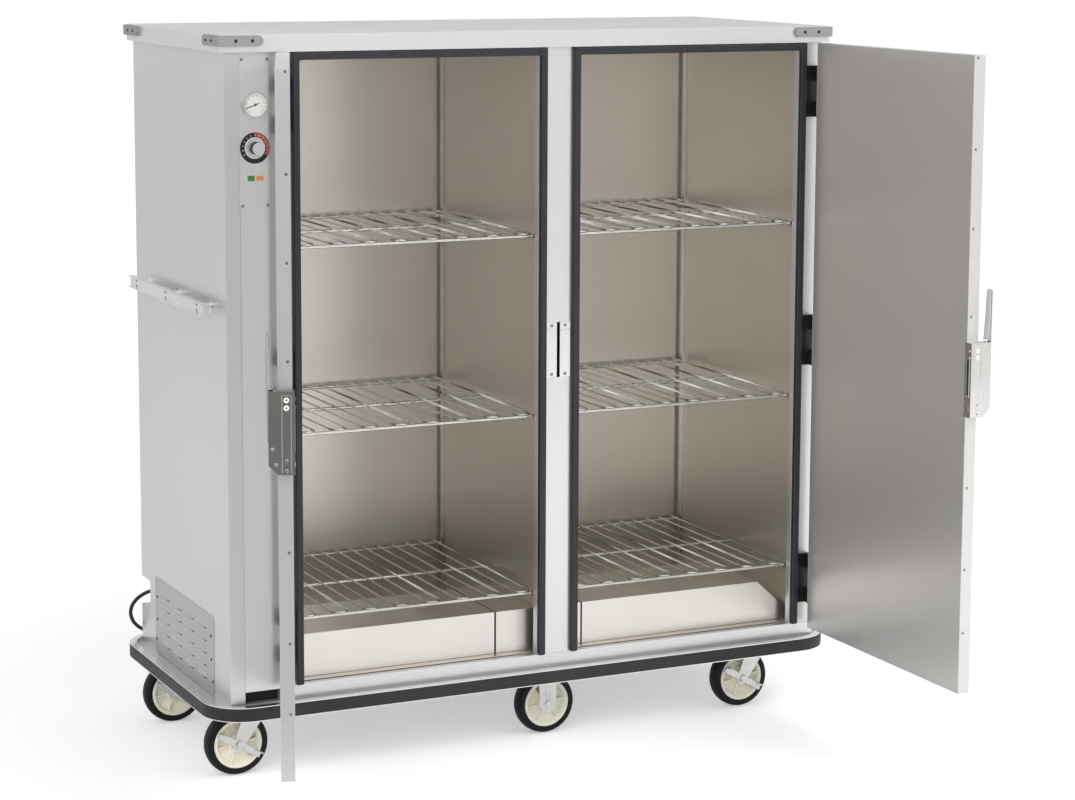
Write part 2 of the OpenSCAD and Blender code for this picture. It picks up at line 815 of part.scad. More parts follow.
module lugs(x0, x1, y) {
  for (i = [0:shelf_count - 1])
    block([x0, y - upright_w / 2, shelf_z(i) - rod_r - seam - lug_h],
          [x1, y + upright_w / 2, shelf_z(i) - rod_r - seam]);
}

module shelf_supports() {
  color("silver") for (y = [rod_y0 + upright_w / 2 - rod_r, rod_y1]) {
    for (side = [-1, 1]) half_side(side) {
      block([cavity_half - upright_t, y - upright_w / 2, floor_z],
            [cavity_half, y + upright_w / 2, ceiling_z]);
      lugs(cavity_half - upright_t - lug_len, cavity_half, y);
      block([partition_half, y - upright_w / 2, floor_z],
            [partition_half + upright_t, y + upright_w / 2, ceiling_z]);
      lugs(partition_half, partition_half + upright_t + lug_len, y);
    }
  }
}

// Door gaskets on the frame: a top and two legs each, open at the sill
module door_gaskets() {
  y0 = -body_y - gasket_t;
  color([0.24, 0.24, 0.27]) for (side = [-1, 1]) half_side(side) difference() {
    block([open_in - gasket_w, y0, sill_z], [open_out + gasket_w, -body_y, open_top + gasket_w]);
    block([open_in, y0 - cut, sill_z - cut], [open_out, -body_y + cut, open_top]);
  }
}

// Louvred panel: rows of half-round bulges, each open underneath
vent_t = 1.5;
louvre_wall = 1.2;
louvre_cols = 4;
louvre_rows = 5;
louvre_step_y = 92;
louvre_step_z = 30;

module louvre_panel() {
  color("gray") difference() {
    union() {
      block([-body_x - vent_t, -vent_w / 2, vent_z0], [-body_x, vent_w / 2, vent_z0 + vent_h]);
      louvres(louvre_r, louvre_len, 0);
    }
    louvres(louvre_r - louvre_wall, louvre_len - 2 * louvre_wall, louvre_r);
    block([-body_x, -vent_w, vent_z0 - cut], [-body_x + louvre_r + cut, vent_w, vent_z0 + vent_h + cut]);
  }
}

module louvres(r, len, drop) {
  for (c = [0:louvre_cols - 1], k = [0:louvre_rows - 1])
    translate([-body_x - vent_t / 2, (c - (louvre_cols - 1) / 2) * louvre_step_y - len / 2,
               vent_z0 + vent_h / 2 + (k - (louvre_rows - 1) / 2) * louvre_step_z]) {
      bar_y(r, 0, len);
      if (drop > 0) translate([-r, 0, -drop]) cube([2 * r, len, drop]);
    }
}

// Push rails: an extruded channel with lips, on three stand-offs
rail_t = 14;
rail_wall = 2.5;
rail_lip = 6;
stand_r = 9;
foot_r = 15;
foot_t = 2;

module push_rails() {
  color("silver") for (sx = [-1, 1]) mirror([sx > 0 ? 1 : 0, 0, 0])
  translate([-body_x, 0, deck_z + rail_z]) {
    difference() {
      block([-rail_out, -rail_len / 2, -rail_h / 2], [-rail_out + rail_t, rail_len / 2, rail_h / 2]);
      block([-rail_out - cut, -rail_len / 2 - cut, -rail_h / 2 + rail_wall],
            [-rail_out + rail_lip, rail_len / 2 + cut, rail_h / 2 - rail_wall]);
    }
    for (p = [-1, 0, 1]) translate([0, p * rail_len * rail_foot_share, 0]) {
      bar_x(stand_r, -rail_out + rail_t / 2, 0);
      bar_x(foot_r, -foot_t, 0);
    }
  }
}

// Hinge halves on the frame: a plate on the jamb and two arms that hold the barrel's ends, with the pin
hinge_plate_w = 24;
hinge_plate_t = 3;
arm_in = 4;
knuckle_shares = [0.3, 0.7];

module hinge_frame_leaves() {
  color([0.1, 0.1, 0.1]) for (side = [-1, 1], z = hinge_heights) half_side(side)
  translate([half, hinge_y, z - hinge_h / 2]) {
    difference() {
      union() {
        block([-hinge_plate_w, -body_y - hinge_plate_t - hinge_y, 0],
              [barrel_r, -body_y - hinge_y, hinge_h]);
        for (p = [[0, knuckle_shares[0]], [knuckle_shares[1], 1]]) translate([0, 0, hinge_h * p[0]]) {
          block([-arm_in, 0, 0],
                [barrel_r, -body_y - hinge_plate_t / 2 - hinge_y, hinge_h * (p[1] - p[0])]);
          cylinder(r = barrel_r, h = hinge_h * (p[1] - p[0]));
        }
      }
      translate([0, 0, -cut]) cylinder(r = hinge_pin_r + run, h = hinge_h + 2 * cut);
    }
    cylinder(r = hinge_pin_r, h = hinge_h);
  }
}

// Hinge halves on a door: a plate on the door's edge and the middle knuckle
leaf_t = 1.5;

module hinge_leaves(side) {
  knuckle_h = hinge_h * (knuckle_shares[1] - knuckle_shares[0]) - 2 * seam;
  color("silver") hung(side) for (z = hinge_heights)
  translate([half, hinge_y, z - hinge_h / 2]) difference() {
    union() {
      block([-hinge_edge, -door_t / 2, 0], [-hinge_edge + leaf_t, door_t / 2, hinge_h]);
      translate([0, 0, hinge_h * knuckle_shares[0] + seam]) {
        cylinder(r = barrel_r, h = knuckle_h);
        block([-hinge_edge, -arm_in, 0], [0, arm_in, knuckle_h]);
      }
    }
    translate([0, 0, -cut]) cylinder(r = hinge_pin_r + run, h = hinge_h + 2 * cut);
  }
}

module hinge_leaves_left() {
  hinge_leaves(-1);
}
module hinge_leaves_right() {
  hinge_leaves(1);
}

// Door: an outer pan of sheet steel with an inner sheet in it, and an insulation slab between the two
door_in = sheet + seam;

module door_skin(side) {
  color("lightgray") hung(side) {
    difference() {
      block([door_free, door_out_y, door_z0], [door_hinge, door_in_y, door_z1]);
      block([door_free + sheet, door_out_y + sheet, door_z0 + sheet],
            [door_hinge - sheet, door_in_y + cut, door_z1 - sheet]);
    }
    block([door_free + door_in, door_in_y - sheet, door_z0 + door_in],
          [door_hinge - door_in, door_in_y, door_z1 - door_in]);
  }
}

module door_fill(side) {
  color("khaki") hung(side)
    block([door_free + door_in, door_out_y + door_in, door_z0 + door_in],
          [door_hinge - door_in, door_in_y - door_in, door_z1 - door_in]);
}

module door_left_skin() {
  door_skin(-1);
}
module door_left_fill() {
  door_fill(-1);
}
module door_right_skin() {
  door_skin(1);
}
module door_right_fill() {
  door_fill(1);
}

// Latch case on the door's free edge: a box open at the outside above the pivot, with two rollers inside
roller_shares = [0.25, 0.75];

module latch_case(side) {
  x0 = door_free - latch_w;
  y0 = door_out_y - latch_out;
  y1 = door_in_y + latch_in;
  lever_x0 = x0 + (latch_w - lever_w) / 2 - play;
  lever_x1 = x0 + (latch_w + lever_w) / 2 + play;
  hung(side) {
    color("silver") difference() {
      union() {
        block([x0, y0, latch_z], [door_free, y1, latch_z + latch_h]);
        for (rise = roller_rise) translate([0, y1, latch_z + rise])
          bar_x(roller_r, x0 + latch_w * roller_shares[0], x0 + latch_w * roller_shares[1]);
      }
      block([lever_x0, y0 - cut, lever_pivot_z - lever_pin_r - 3 * play],
            [lever_x1, lever_y + lever_pin_r + 2 * play, latch_z + latch_h + cut]);
      translate([0, lever_y, lever_pivot_z])
        bar_x(lever_pin_r + run, x0 + case_wall, door_free - case_wall);
      translate([x0 - cut, y0, latch_z]) rotate([0, quarter_turn, 0]) linear_extrude(latch_w + 2 * cut)
        polygon([[cut, -cut], [cut, latch_out], [0, latch_out], [-latch_out, 0], [-latch_out, -cut]]);
    }
  }
}

module latch_case_left() {
  latch_case(-1);
}
module latch_case_right() {
  latch_case(1);
}

// Latch lever: a strip on a cross pin, cranked outwards to clear the case and to be pulled
lever_crank = 3;

module latch_lever(side) {
  x0 = door_free - latch_w / 2;
  hung(side) color("gainsboro") translate([x0, lever_y, lever_pivot_z]) {
    bar_x(lever_pin_r, -latch_w / 2 + case_wall + play, latch_w / 2 - case_wall - play);
    rotate([quarter_turn, 0, quarter_turn]) translate([0, 0, -lever_w / 2]) linear_extrude(lever_w)
      polygon([[-lever_t / 2, 0], [lever_t / 2, 0],
               [lever_t / 2 - lever_crank, lever_len], [-lever_t / 2 - lever_crank, lever_len]]);
  }
}

module latch_lever_left() {
  latch_lever(-1);
}
module latch_lever_right() {
  latch_lever(1);
}

// Caster plates under the deck with a raceway boss, and the two rigid forks
pad_x = 110;
pad_y = 90;
pad_t = 4;
boss_r = 30;
boss_h = 6;
kingpin_r = 8;
fork_gap = 3;
leg_t = 4;
leg_y = wheel_w / 2 + fork_gap;
eye_r = 16;
axle_z = wheel_r;
pad_z = caster_h - pad_t;
crown_t = 6;
crown_z = pad_z - boss_h - seam - crown_t;
crown_r = 34;
rigid_leg_w = 46;
nut_r = 9;
nut_t = 5;

module caster_plate(x, y) {
  translate([x, y, pad_z]) difference() {
    union() {
      translate([-pad_x / 2, -pad_y / 2, 0]) cube([pad_x, pad_y, pad_t]);
      translate([0, 0, -boss_h]) cylinder(r = boss_r, h = boss_h + pad_t / 2);
    }
    translate([0, 0, -boss_h - cut]) cylinder(r = kingpin_r + run, h = boss_h + pad_t + 2 * cut);
  }
}

// Axle with a head and a nut outside the legs
module axle(reach_front, reach_back) {
  bar_y(axle_r, -reach_front, reach_back);
  bar_y(nut_r, -reach_front - nut_t, -reach_front, $fn = 6);
  bar_y(nut_r, reach_back, reach_back + nut_t, $fn = 6);
}

module rigid_fork(y) {
  translate([rigid_x, y, 0]) {
    difference() {
      union() {
        translate([-pad_x / 2, -pad_y / 2, pad_z]) cube([pad_x, pad_y, pad_t]);
        for (s = [-1, 1]) translate([0, s * (leg_y + leg_t / 2) + leg_t / 2, axle_z])
        rotate([quarter_turn, 0, 0]) linear_extrude(leg_t) {
          translate([-rigid_leg_w / 2, 0]) square([rigid_leg_w, pad_z - axle_z + pad_t / 2]);
          circle(rigid_leg_w / 2);
        }
      }
      translate([0, 0, axle_z]) bar_y(axle_r + run, -leg_y - leg_t - cut, leg_y + leg_t + cut);
    }
    translate([0, 0, axle_z]) axle(leg_y + leg_t + run, leg_y + leg_t + run);
  }
}

module caster_mounts() {
  color("lightsteelblue") {
    for (sx = [-1, 1], sy = [-1, 1]) caster_plate(sx * caster_x, sy * caster_y);
    for (sy = [-1, 1]) rigid_fork(sy * caster_y);
  }
}

// Swivel fork: kingpin, crown and two sloping legs, with the axle as a piece of its own
brake_t = 3;
crown_front_share = 0.9;

module caster_fork(sx, sy) {
  color("lightsteelblue") translate([sx * caster_x, sy * caster_y, 0]) {
    difference() {
      union() {
        translate([0, 0, crown_z]) cylinder(r = crown_r, h = crown_t);
        translate([0, 0, crown_z]) cylinder(r = kingpin_r, h = caster_h - pad_t / 4 - crown_z);
        block([-crown_r, -leg_y - leg_t, crown_z],
              [crown_r * crown_front_share, leg_y + leg_t, crown_z + crown_t]);
        for (s = [-1, 1]) translate([0, s * (leg_y + leg_t / 2) + leg_t / 2, 0]) rotate([quarter_turn, 0, 0])
        linear_extrude(leg_t) {
          translate([-trail, axle_z]) circle(eye_r);
          polygon([[-trail - eye_r, axle_z], [-trail, axle_z - eye_r], [-trail + eye_r, axle_z],
                   [crown_r * crown_front_share, crown_z + crown_t], [-crown_r, crown_z + crown_t]]);
        }
      }
      translate([-trail, 0, axle_z]) bar_y(axle_r + run, -leg_y - leg_t - cut, leg_y + leg_t + cut);
    }
    translate([-trail, 0, axle_z]) axle(leg_y + leg_t + brake_t + 2 * seam, leg_y + leg_t + run);
  }
}

module caster_fork_fl() {
  caster_fork(-1, -1);
}
module caster_fork_fr() {
  caster_fork(1, -1);
}
module caster_fork_bl() {
  caster_fork(-1, 1);
}
module caster_fork_br() {
  caster_fork(1, 1);
}

// Brake bar on the axle's front end, with a toe tip bent outwards at each end
brake_tilt = 30;
brake_h = 16;
tip_len = 18;
tip_out = 20;

module brake_pedal(sx, sy) {
  bar_at = [sx * caster_x - trail, sy * caster_y - leg_y - leg_t - seam, axle_z];
  color("lightsteelblue") translate(bar_at) rotate([0, brake_tilt, 0])
    difference() {
      union() {
        block([-brake_len / 2, -brake_t, -brake_h / 2], [brake_len / 2, 0, brake_h / 2]);
        bar_y(brake_h / 2 + axle_r / 2, -brake_t, 0);
        block([-brake_len / 2, -tip_out, brake_h / 2 - brake_t], [-brake_len / 2 + tip_len, 0, brake_h / 2]);
        block([brake_len / 2 - tip_len, -tip_out, brake_h / 2 - brake_t], [brake_len / 2, 0, brake_h / 2]);
      }
      bar_y(axle_r + run, -brake_t - cut, cut);
    }
}

module brake_pedal_fl() {
  brake_pedal(-1, -1);
}
module brake_pedal_fr() {
  brake_pedal(1, -1);
}
module brake_pedal_bl() {
  brake_pedal(-1, 1);
}
module brake_pedal_br() {
  brake_pedal(1, 1);
}

// Wheel: a hub with a dished web and a solid tyre round it
hub_core_r = 22;
hub_rim = 9;
web_share = 0.3;
tyre_round = 6;

module wheel(x, y) {
  translate([x, y, axle_z]) rotate([-quarter_turn, 0, 0]) {
    color("ivory") rotate_extrude() {
      translate([axle_r + run, -wheel_w / 2]) square([hub_core_r - axle_r - run, wheel_w]);
      translate([axle_r + run, -wheel_w * web_share / 2]) square([hub_r - axle_r - run, wheel_w * web_share]);
      translate([hub_r - hub_rim, -wheel_w / 2]) square([hub_rim, wheel_w]);
    }
    color("black") rotate_extrude() {
      translate([hub_r + run, -wheel_w / 2]) square([wheel_r - tyre_round - hub_r - run, wheel_w]);
      translate([hub_r + run, -wheel_w / 2 + tyre_round])
        square([wheel_r - hub_r - run, wheel_w - 2 * tyre_round]);
      for (s = [-1, 1]) translate([wheel_r - tyre_round, s * (wheel_w / 2 - tyre_round)]) circle(tyre_round);
    }
  }
}

module wheel_fl() {
  wheel(-caster_x - trail, -caster_y);
}
module wheel_fr() {
  wheel(caster_x - trail, -caster_y);
}
module wheel_bl() {
  wheel(-caster_x - trail, caster_y);
}
module wheel_br() {
  wheel(caster_x - trail, caster_y);
}
module wheel_rigid_front() {
  wheel(rigid_x, -caster_y);
}
module wheel_rigid_back() {
  wheel(rigid_x, caster_y);
}

// Power cord: out of the gland, round in a loop, along the deck's edge, over the bumper and down to its coil.
// Its bends from the back left corner of the body, from the bumper's back face, and from there at the floor
corner_bends = [
  [36, -33, 130], [36, -14, 130], [26, 4, 124], [9, 17, 114], [-10, 24, 98], [-21, 27, 77], [-20, 27, 54],
  [-8, 24, 34], [11, 18, 21], [33, 12, 13], [56, 10, 8], [81, 10, 6], [106, 10, 6], [131, 10, 6],
  [156, 10, 7], [180, 13, 11]
];
edge_bends = [[202, -17, 16], [220, -2, 19], [234, 16, 16], [244, 34, 5], [249, 48, -13], [252, 56, -36]];
floor_bends = [
  [254, 60, 125], [255, 62, 100], [256, 64, 76], [260, 67, 52], [268, 72, 31], [282, 78, 16], [301, 83, 8.5],
  [324, 87, 6.5], [346, 87, 6.5]
];
route = concat(
  [for (p = corner_bends) p + [-body_x, body_y, deck_z]],
  [for (p = edge_bends) p + [-body_x, base_dd / 2, deck_z]],
  [for (p = floor_bends) p + [-body_x, base_dd / 2, 0]]
);
route_end = route[len(route) - 1];
cord_r = cord_d / 2;
cord_sides = 10;

// A ring of points round each point of a path, square to the path there, and the tube that joins the rings
function unit(v) = v / norm(v);
function heading(path, i) = unit(path[min(i + 1, len(path) - 1)] - path[max(i - 1, 0)]);
function across(v) = abs(v[2]) > 0.9 ? unit(cross(v, [1, 0, 0])) : unit(cross(v, [0, 0, 1]));
// The first side direction is carried along the path without twist
function sides_along(path, i, prev, out) =
  i == len(path) ? out :
  let(v = heading(path, i), a = unit(prev - v * (prev * v))) sides_along(path, i + 1, a, concat(out, [a]));

module tube(path, r, sides) {
  start = across(heading(path, 0));
  side = sides_along(path, 0, start, []);
  points = [
    for (i = [0:len(path) - 1], k = [0:sides - 1])
      let(v = heading(path, i), a = side[i], b = cross(v, a), t = full_turn * k / sides)
        path[i] + r * (a * cos(t) + b * sin(t))
  ];
  last = (len(path) - 1) * sides;
  walls = [
    for (i = [0:len(path) - 2], k = [0:sides - 1])
      let(p = i * sides + k, q = i * sides + (k + 1) % sides)
        each [[p, p + sides, q], [q, p + sides, q + sides]]
  ];
  ends = [
    for (k = [1:sides - 2])
      each [[0, k, k + 1], [last, last + k + 1, last + k]]
  ];
  polyhedron(points, concat(walls, ends), convexity = 10);
}

module cord_tube() {
  color([0.15, 0.15, 0.16]) tube(route, cord_r, cord_sides);
}

// Coil on the floor: in along the lower layer, up in the turning half turn, and out along the upper one
coil_pitch = cord_d + play;
coil_centre = [route_end[0] + cord_d, route_end[1] + coil_r];
coil_z = route_end[2];
coil_steps = 24;
coil_sides = 6;
coil_total = 2 * coil_turns + 0.5;
tail_share = 4.5;
tail_r = tail_share * cord_d;
tail_turn = 40;
tail_steps = 4;
function coil_radius(t) = coil_r - coil_pitch * min(t, coil_total - t);
function coil_rise(t) = coil_pitch * max(0, min(1, (t - coil_turns) * 2));
function coil_point(t) = let(r = coil_radius(t), a = full_turn * t - quarter_turn)
  [coil_centre[0] + r * cos(a), coil_centre[1] + r * sin(a), coil_z + coil_rise(t)];
tail_angle = full_turn * coil_total - quarter_turn;
tail_centre = coil_centre + (coil_r + tail_r) * [cos(tail_angle), sin(tail_angle)];
function tail_point(s) = let(a = tail_angle + half_turn - tail_turn * s)
  [tail_centre[0] + tail_r * cos(a), tail_centre[1] + tail_r * sin(a), coil_z + coil_pitch];
tail_head = tail_angle + quarter_turn - tail_turn;
plug_dir = [cos(tail_head), sin(tail_head), 0];
plug_at = tail_point(1) + cord_d * plug_dir;
coil_path = concat(
  [route_end],
  [for (i = [0:coil_steps * coil_total]) coil_point(i / coil_steps)],
  [for (i = [1:tail_steps]) tail_point(i / tail_steps)],
  [plug_at]
);
// Least distance between stretches of the coil at least a third of a turn apart along it
coil_apart = floor(coil_steps / 3);
coil_least = min([
  for (i = [0:len(coil_path) - 1], j = [i + coil_apart:len(coil_path) - 1])
    if (j < len(coil_path)) norm(coil_path[i] - coil_path[j])
]);
echo(coil_gap = coil_least - cord_d);

module cord_coil() {
  color([0.15, 0.15, 0.16]) tube(coil_path, cord_r, coil_sides);
}

// Tie: a flat strap round all the turns on the side away from the plug
tie_w = 12;
tie_t = 1.2;
tie_angle = 200;

module cord_tie() {
  r0 = coil_r - coil_pitch * coil_total / 2 - cord_r - play;
  r1 = coil_r + cord_r + play;
  z0 = coil_z - cord_r - play;
  z1 = coil_z + coil_pitch + cord_r + play;
  color("black") translate(coil_centre) rotate([0, 0, tie_angle]) difference() {
    block([r0 - tie_t, -tie_w / 2, z0 - tie_t], [r1 + tie_t, tie_w / 2, z1 + tie_t]);
    block([r0, -tie_w / 2 - cut, z0], [r1, tie_w / 2 + cut, z1]);
  }
}

// Plug: a tapered strain relief, a round body that lies on the floor, two blades and an earth pin
relief_len = 24;
plug_r = coil_z + coil_pitch - seam;
plug_len = 38;
relief_t = 3;
relief_r = cord_r + relief_t;
blade_w = 6.3;
blade_t = 1.5;
blade_len = 17;
blade_apart = 12.7;
pin_r = 2.4;
pin_drop = 7;

module cord_plug() {
  translate(plug_at) rotate([0, 0, tail_head]) rotate([0, quarter_turn, 0]) {
    color([0.15, 0.15, 0.16]) {
      cylinder(r1 = cord_r + tie_t, r2 = relief_r, h = relief_len);
      translate([0, 0, relief_len]) cylinder(r = plug_r, h = plug_len);
    }
    color("silver") translate([0, 0, relief_len + plug_len]) {
      for (s = [-1, 1]) translate([-pin_drop / 2 - blade_w / 2, s * blade_apart / 2 - blade_t / 2, -blade_t])
        cube([blade_w, blade_t, blade_len]);
      translate([pin_drop, 0, -blade_t]) cylinder(r = pin_r, h = blade_len);
    }
  }
}

// Gland: a collar in the recess's back wall, and a tapered sleeve that the cord comes out of
gland_x = route[0][0];
gland_z = route[0][2];
gland_r = 10;
gland_flange_r = 14;
gland_flange_t = 6;
gland_behind = 8;
sleeve_tip = 1.5;

module cord_gland() {
  y0 = recess_y + seam / 3;
  translate([gland_x, 0, gland_z]) color("black") {
    bar_y(gland_r, recess_y - sheet - gland_behind, y0 + gland_flange_t);
    bar_y(gland_flange_r, y0, y0 + gland_flange_t);
    translate([0, y0 + gland_flange_t, 0]) rotate([-quarter_turn, 0, 0])
      cylinder(r1 = gland_r, r2 = cord_r + sleeve_tip, h = route[0][1] - y0 - gland_flange_t);
  }
}

base_frame();
bumper_channel();
bumper_strip();
side_panel_left();
side_panel_right();
back_panel();
top_cap();
liner();
insulation();
face_frame();
mullion();
column_panel();
control_plate();
cabinet_screws();
thermometer_case();
thermostat();
switch_housing();
heater_covers();
heater_elements();
shelves();
shelf_supports();
door_gaskets();
strike_plates();
corner_bumpers();
louvre_panel();
push_rails();
cord_gland();
cord_tube();
cord_coil();
cord_tie();
cord_plug();
caster_mounts();
hinge_frame_leaves();
door_left_skin();
door_left_fill();
hinge_leaves_left();
latch_case_left();
door_right_skin();
door_right_fill();
hinge_leaves_right();
latch_case_right();
latch_lever_left();
latch_lever_right();
thermometer_needle();
thermostat_knob();
power_rocker();
caster_fork_fl();
caster_fork_fr();
caster_fork_bl();
caster_fork_br();
brake_pedal_fl();
brake_pedal_fr();
brake_pedal_bl();
brake_pedal_br();
wheel_fl();
wheel_fr();
wheel_bl();
wheel_br();
wheel_rigid_front();
wheel_rigid_back();
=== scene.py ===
import math

import bmesh
import bpy
from mathutils import Matrix, Vector


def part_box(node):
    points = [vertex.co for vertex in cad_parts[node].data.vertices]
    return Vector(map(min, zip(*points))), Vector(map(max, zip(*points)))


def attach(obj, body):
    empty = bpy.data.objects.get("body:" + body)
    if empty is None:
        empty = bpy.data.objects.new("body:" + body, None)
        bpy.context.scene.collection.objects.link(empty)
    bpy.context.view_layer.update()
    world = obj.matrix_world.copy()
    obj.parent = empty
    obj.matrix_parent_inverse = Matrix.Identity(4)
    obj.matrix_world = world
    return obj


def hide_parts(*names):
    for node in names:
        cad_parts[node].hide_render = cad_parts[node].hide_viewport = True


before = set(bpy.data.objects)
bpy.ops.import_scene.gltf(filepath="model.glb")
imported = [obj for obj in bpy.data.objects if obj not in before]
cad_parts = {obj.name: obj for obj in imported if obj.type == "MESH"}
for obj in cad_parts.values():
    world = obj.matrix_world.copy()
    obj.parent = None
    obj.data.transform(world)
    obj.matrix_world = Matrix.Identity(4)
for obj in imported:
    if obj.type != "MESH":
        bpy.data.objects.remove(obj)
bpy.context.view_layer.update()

scene = bpy.context.scene
scene.view_settings.view_transform = "Standard"

# Camera
# A long lens stands in front of the cabinet's left corner, a little above the cap, and looks down on it.
# The picture is shifted down so that the cabinet's uprights stay almost parallel.
yaw, pitch, roll = 0.4471, 0.1399, 0.0043
ahead = Vector((math.sin(yaw) * math.cos(pitch), math.cos(yaw) * math.cos(pitch), -math.sin(pitch)))
level = Vector((math.cos(yaw), -math.sin(yaw), 0))
above = level.cross(ahead)
across = level * math.cos(roll) + above * math.sin(roll)
upright = above * math.cos(roll) - level * math.sin(roll)
lens = bpy.data.cameras.new("camera")
lens.lens = 90.96
lens.sensor_width = 36
lens.shift_y = -0.0902
camera = bpy.data.objects.new("camera", lens)
camera.matrix_world = (Matrix.Translation((-2.75899, -6.08973, 1.98349))
                       @ Matrix((across, upright, -ahead)).transposed().to_4x4())
scene.collection.objects.link(camera)
scene.camera = camera


# Supply cord
# A black lead with an extruded rubber jacket leaves the gland in the back left recess, loops out, runs along the
# deck's edge and goes over the bumper to the floor, where the rest lies in a tied coil with its plug.
def linear(code):
    """An sRGB hex colour as linear red, green, blue and alpha."""
    parts = [int(code[i:i + 2], 16) / 255 for i in (1, 3, 5)]
    return (*[c / 12.92 if c <= 0.04045 else ((c + 0.055) / 1.055) ** 2.4 for c in parts], 1.0)


def add(tree, kind, sockets, **settings):
    """A new node in a tree, with its settings, and its sockets linked or set."""
    node = tree.nodes.new(kind)
    for name, value in settings.items():
        setattr(node, name, value)
    for name, value in sockets.items():
        if isinstance(value, bpy.types.NodeSocket):
            tree.links.new(value, node.inputs[name])
        else:
            node.inputs[name].default_value = value
    return node


def surface(name, pale, deep, rough, grain, spread=0.08, height=0.05, cloud=300, **sockets):
    """A finish between two hex colours: grain is in mm along X, Y and Z, and cloud is the slow changes' size."""
    material = bpy.data.materials.new(name)
    material.use_nodes = True
    tree = material.node_tree
    shader = tree.nodes["Principled BSDF"]
    place = add(tree, "ShaderNodeTexCoord", {}).outputs["Object"]
    lines = add(tree, "ShaderNodeMapping", {"Vector": place, "Scale": [1000 / mm for mm in grain]}).outputs["Vector"]
    grit = {"Vector": lines, "Scale": 1.0, "Detail": 3.0, "Roughness": 0.6}
    fine = add(tree, "ShaderNodeTexNoise", grit).outputs[0]
    slow = add(tree, "ShaderNodeTexNoise", {"Vector": place, "Scale": 1000 / cloud, "Detail": 1.0}).outputs[0]
    both = add(tree, "ShaderNodeMath", {0: fine, 1: slow}, operation="ADD").outputs[0]
    tone = add(tree, "ShaderNodeMapRange", {0: both, 1: 0.7, 2: 1.3, 3: 0.0, 4: 1.0}).outputs[0]
    ramp = add(tree, "ShaderNodeValToRGB", {"Fac": tone})
    ramp.color_ramp.elements[0].color = linear(deep)
    ramp.color_ramp.elements[1].color = linear(pale)
    tree.links.new(ramp.outputs["Color"], shader.inputs["Base Color"])
    polish = {0: fine, 1: 0.3, 2: 0.7, 3: rough - spread, 4: rough + spread}
    gloss = add(tree, "ShaderNodeMapRange", polish).outputs[0]
    tree.links.new(gloss, shader.inputs["Roughness"])
    bump = add(tree, "ShaderNodeBump", {"Height": fine, "Strength": 1.0, "Distance": height / 1000})
    tree.links.new(bump.outputs["Normal"], shader.inputs["Normal"])
    for socket, value in sockets.items():
        shader.inputs[socket.replace("_", " ")].default_value = value
    return material


def dress(material, *names):
    """CAD nodes take a finish."""
    for name in names:
        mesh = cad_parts[name].data
        mesh.materials.clear()
        mesh.materials.append(material)


cord_route = [
    (-740, 302, 316), (-740, 321, 316), (-750, 339, 310), (-767, 352, 300), (-786, 359, 284), (-797, 362, 263),
    (-796, 362, 240), (-784, 359, 220), (-765, 353, 207), (-743, 347, 199), (-720, 345, 194), (-695, 345, 192),
    (-670, 345, 192), (-645, 345, 192), (-620, 345, 193), (-596, 348, 197), (-574, 356, 202), (-556, 371, 205),
    (-542, 389, 202), (-532, 407, 191), (-527, 421, 173), (-524, 429, 150), (-522, 433, 125), (-521, 435, 100),
    (-520, 437, 76), (-516, 440, 52), (-508, 445, 31), (-494, 451, 16), (-475, 456, 8.5), (-452, 460, 6.5),
    (-430, 460, 6.5)]
cord_d = 9.5
coil_x, coil_y, coil_z = -420.5, 526, 6.5
coil_r, coil_pitch = 66, 10
turns, layer_turns, coil_steps = 5.5, 2.5, 110
for k in range(1, coil_steps + 1):
    t = k * turns / coil_steps
    spoke = coil_r - coil_pitch * min(t, turns - t)
    angle = math.radians(360 * t - 90)
    rise = coil_z + coil_pitch * min(max((t - layer_turns) * 2, 0), 1)
    cord_route.append((coil_x + spoke * math.cos(angle), coil_y + spoke * math.sin(angle), rise))
# The end bends away from the coil on its upper layer and runs straight into the plug
tail_r, tail_y, tail_z = 42.75, 634.75, coil_z + coil_pitch
for k in range(1, 5):
    angle = math.radians(270 - 10 * k)
    cord_route.append((coil_x + tail_r * math.cos(angle), tail_y + tail_r * math.sin(angle), tail_z))
end = cord_route[-1]
plug_way = math.radians(140)
cord_route.append((end[0] + cord_d * math.cos(plug_way), end[1] + cord_d * math.sin(plug_way), tail_z))
cord_route = [Vector(p) / 1000 for p in cord_route]
cord_line = bpy.data.curves.new("supply_cord", "CURVE")
cord_line.dimensions = "3D"
cord_line.bevel_depth = cord_d / 2 / 1000
cord_line.bevel_resolution = 3
cord_line.resolution_u = 3
cord_line.use_fill_caps = True
spline = cord_line.splines.new("BEZIER")
spline.bezier_points.add(len(cord_route) - 1)
for knot, at in zip(spline.bezier_points, cord_route):
    knot.co = at
    knot.handle_left_type = "AUTO"
    knot.handle_right_type = "AUTO"
cord = bpy.data.objects.new("supply_cord", cord_line)
scene.collection.objects.link(cord)
# EPDM rubber: extruded, so it has a satin skin with hardly any grain
jacket = surface("extruded_rubber_jacket", "#161617", "#0c0c0d", 0.34, (6, 6, 6), height=0.03)
cord_line.materials.append(jacket)
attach(cord, "cabinet")
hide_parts("cord_tube", "cord_coil")
dress(jacket, "cord_plug")

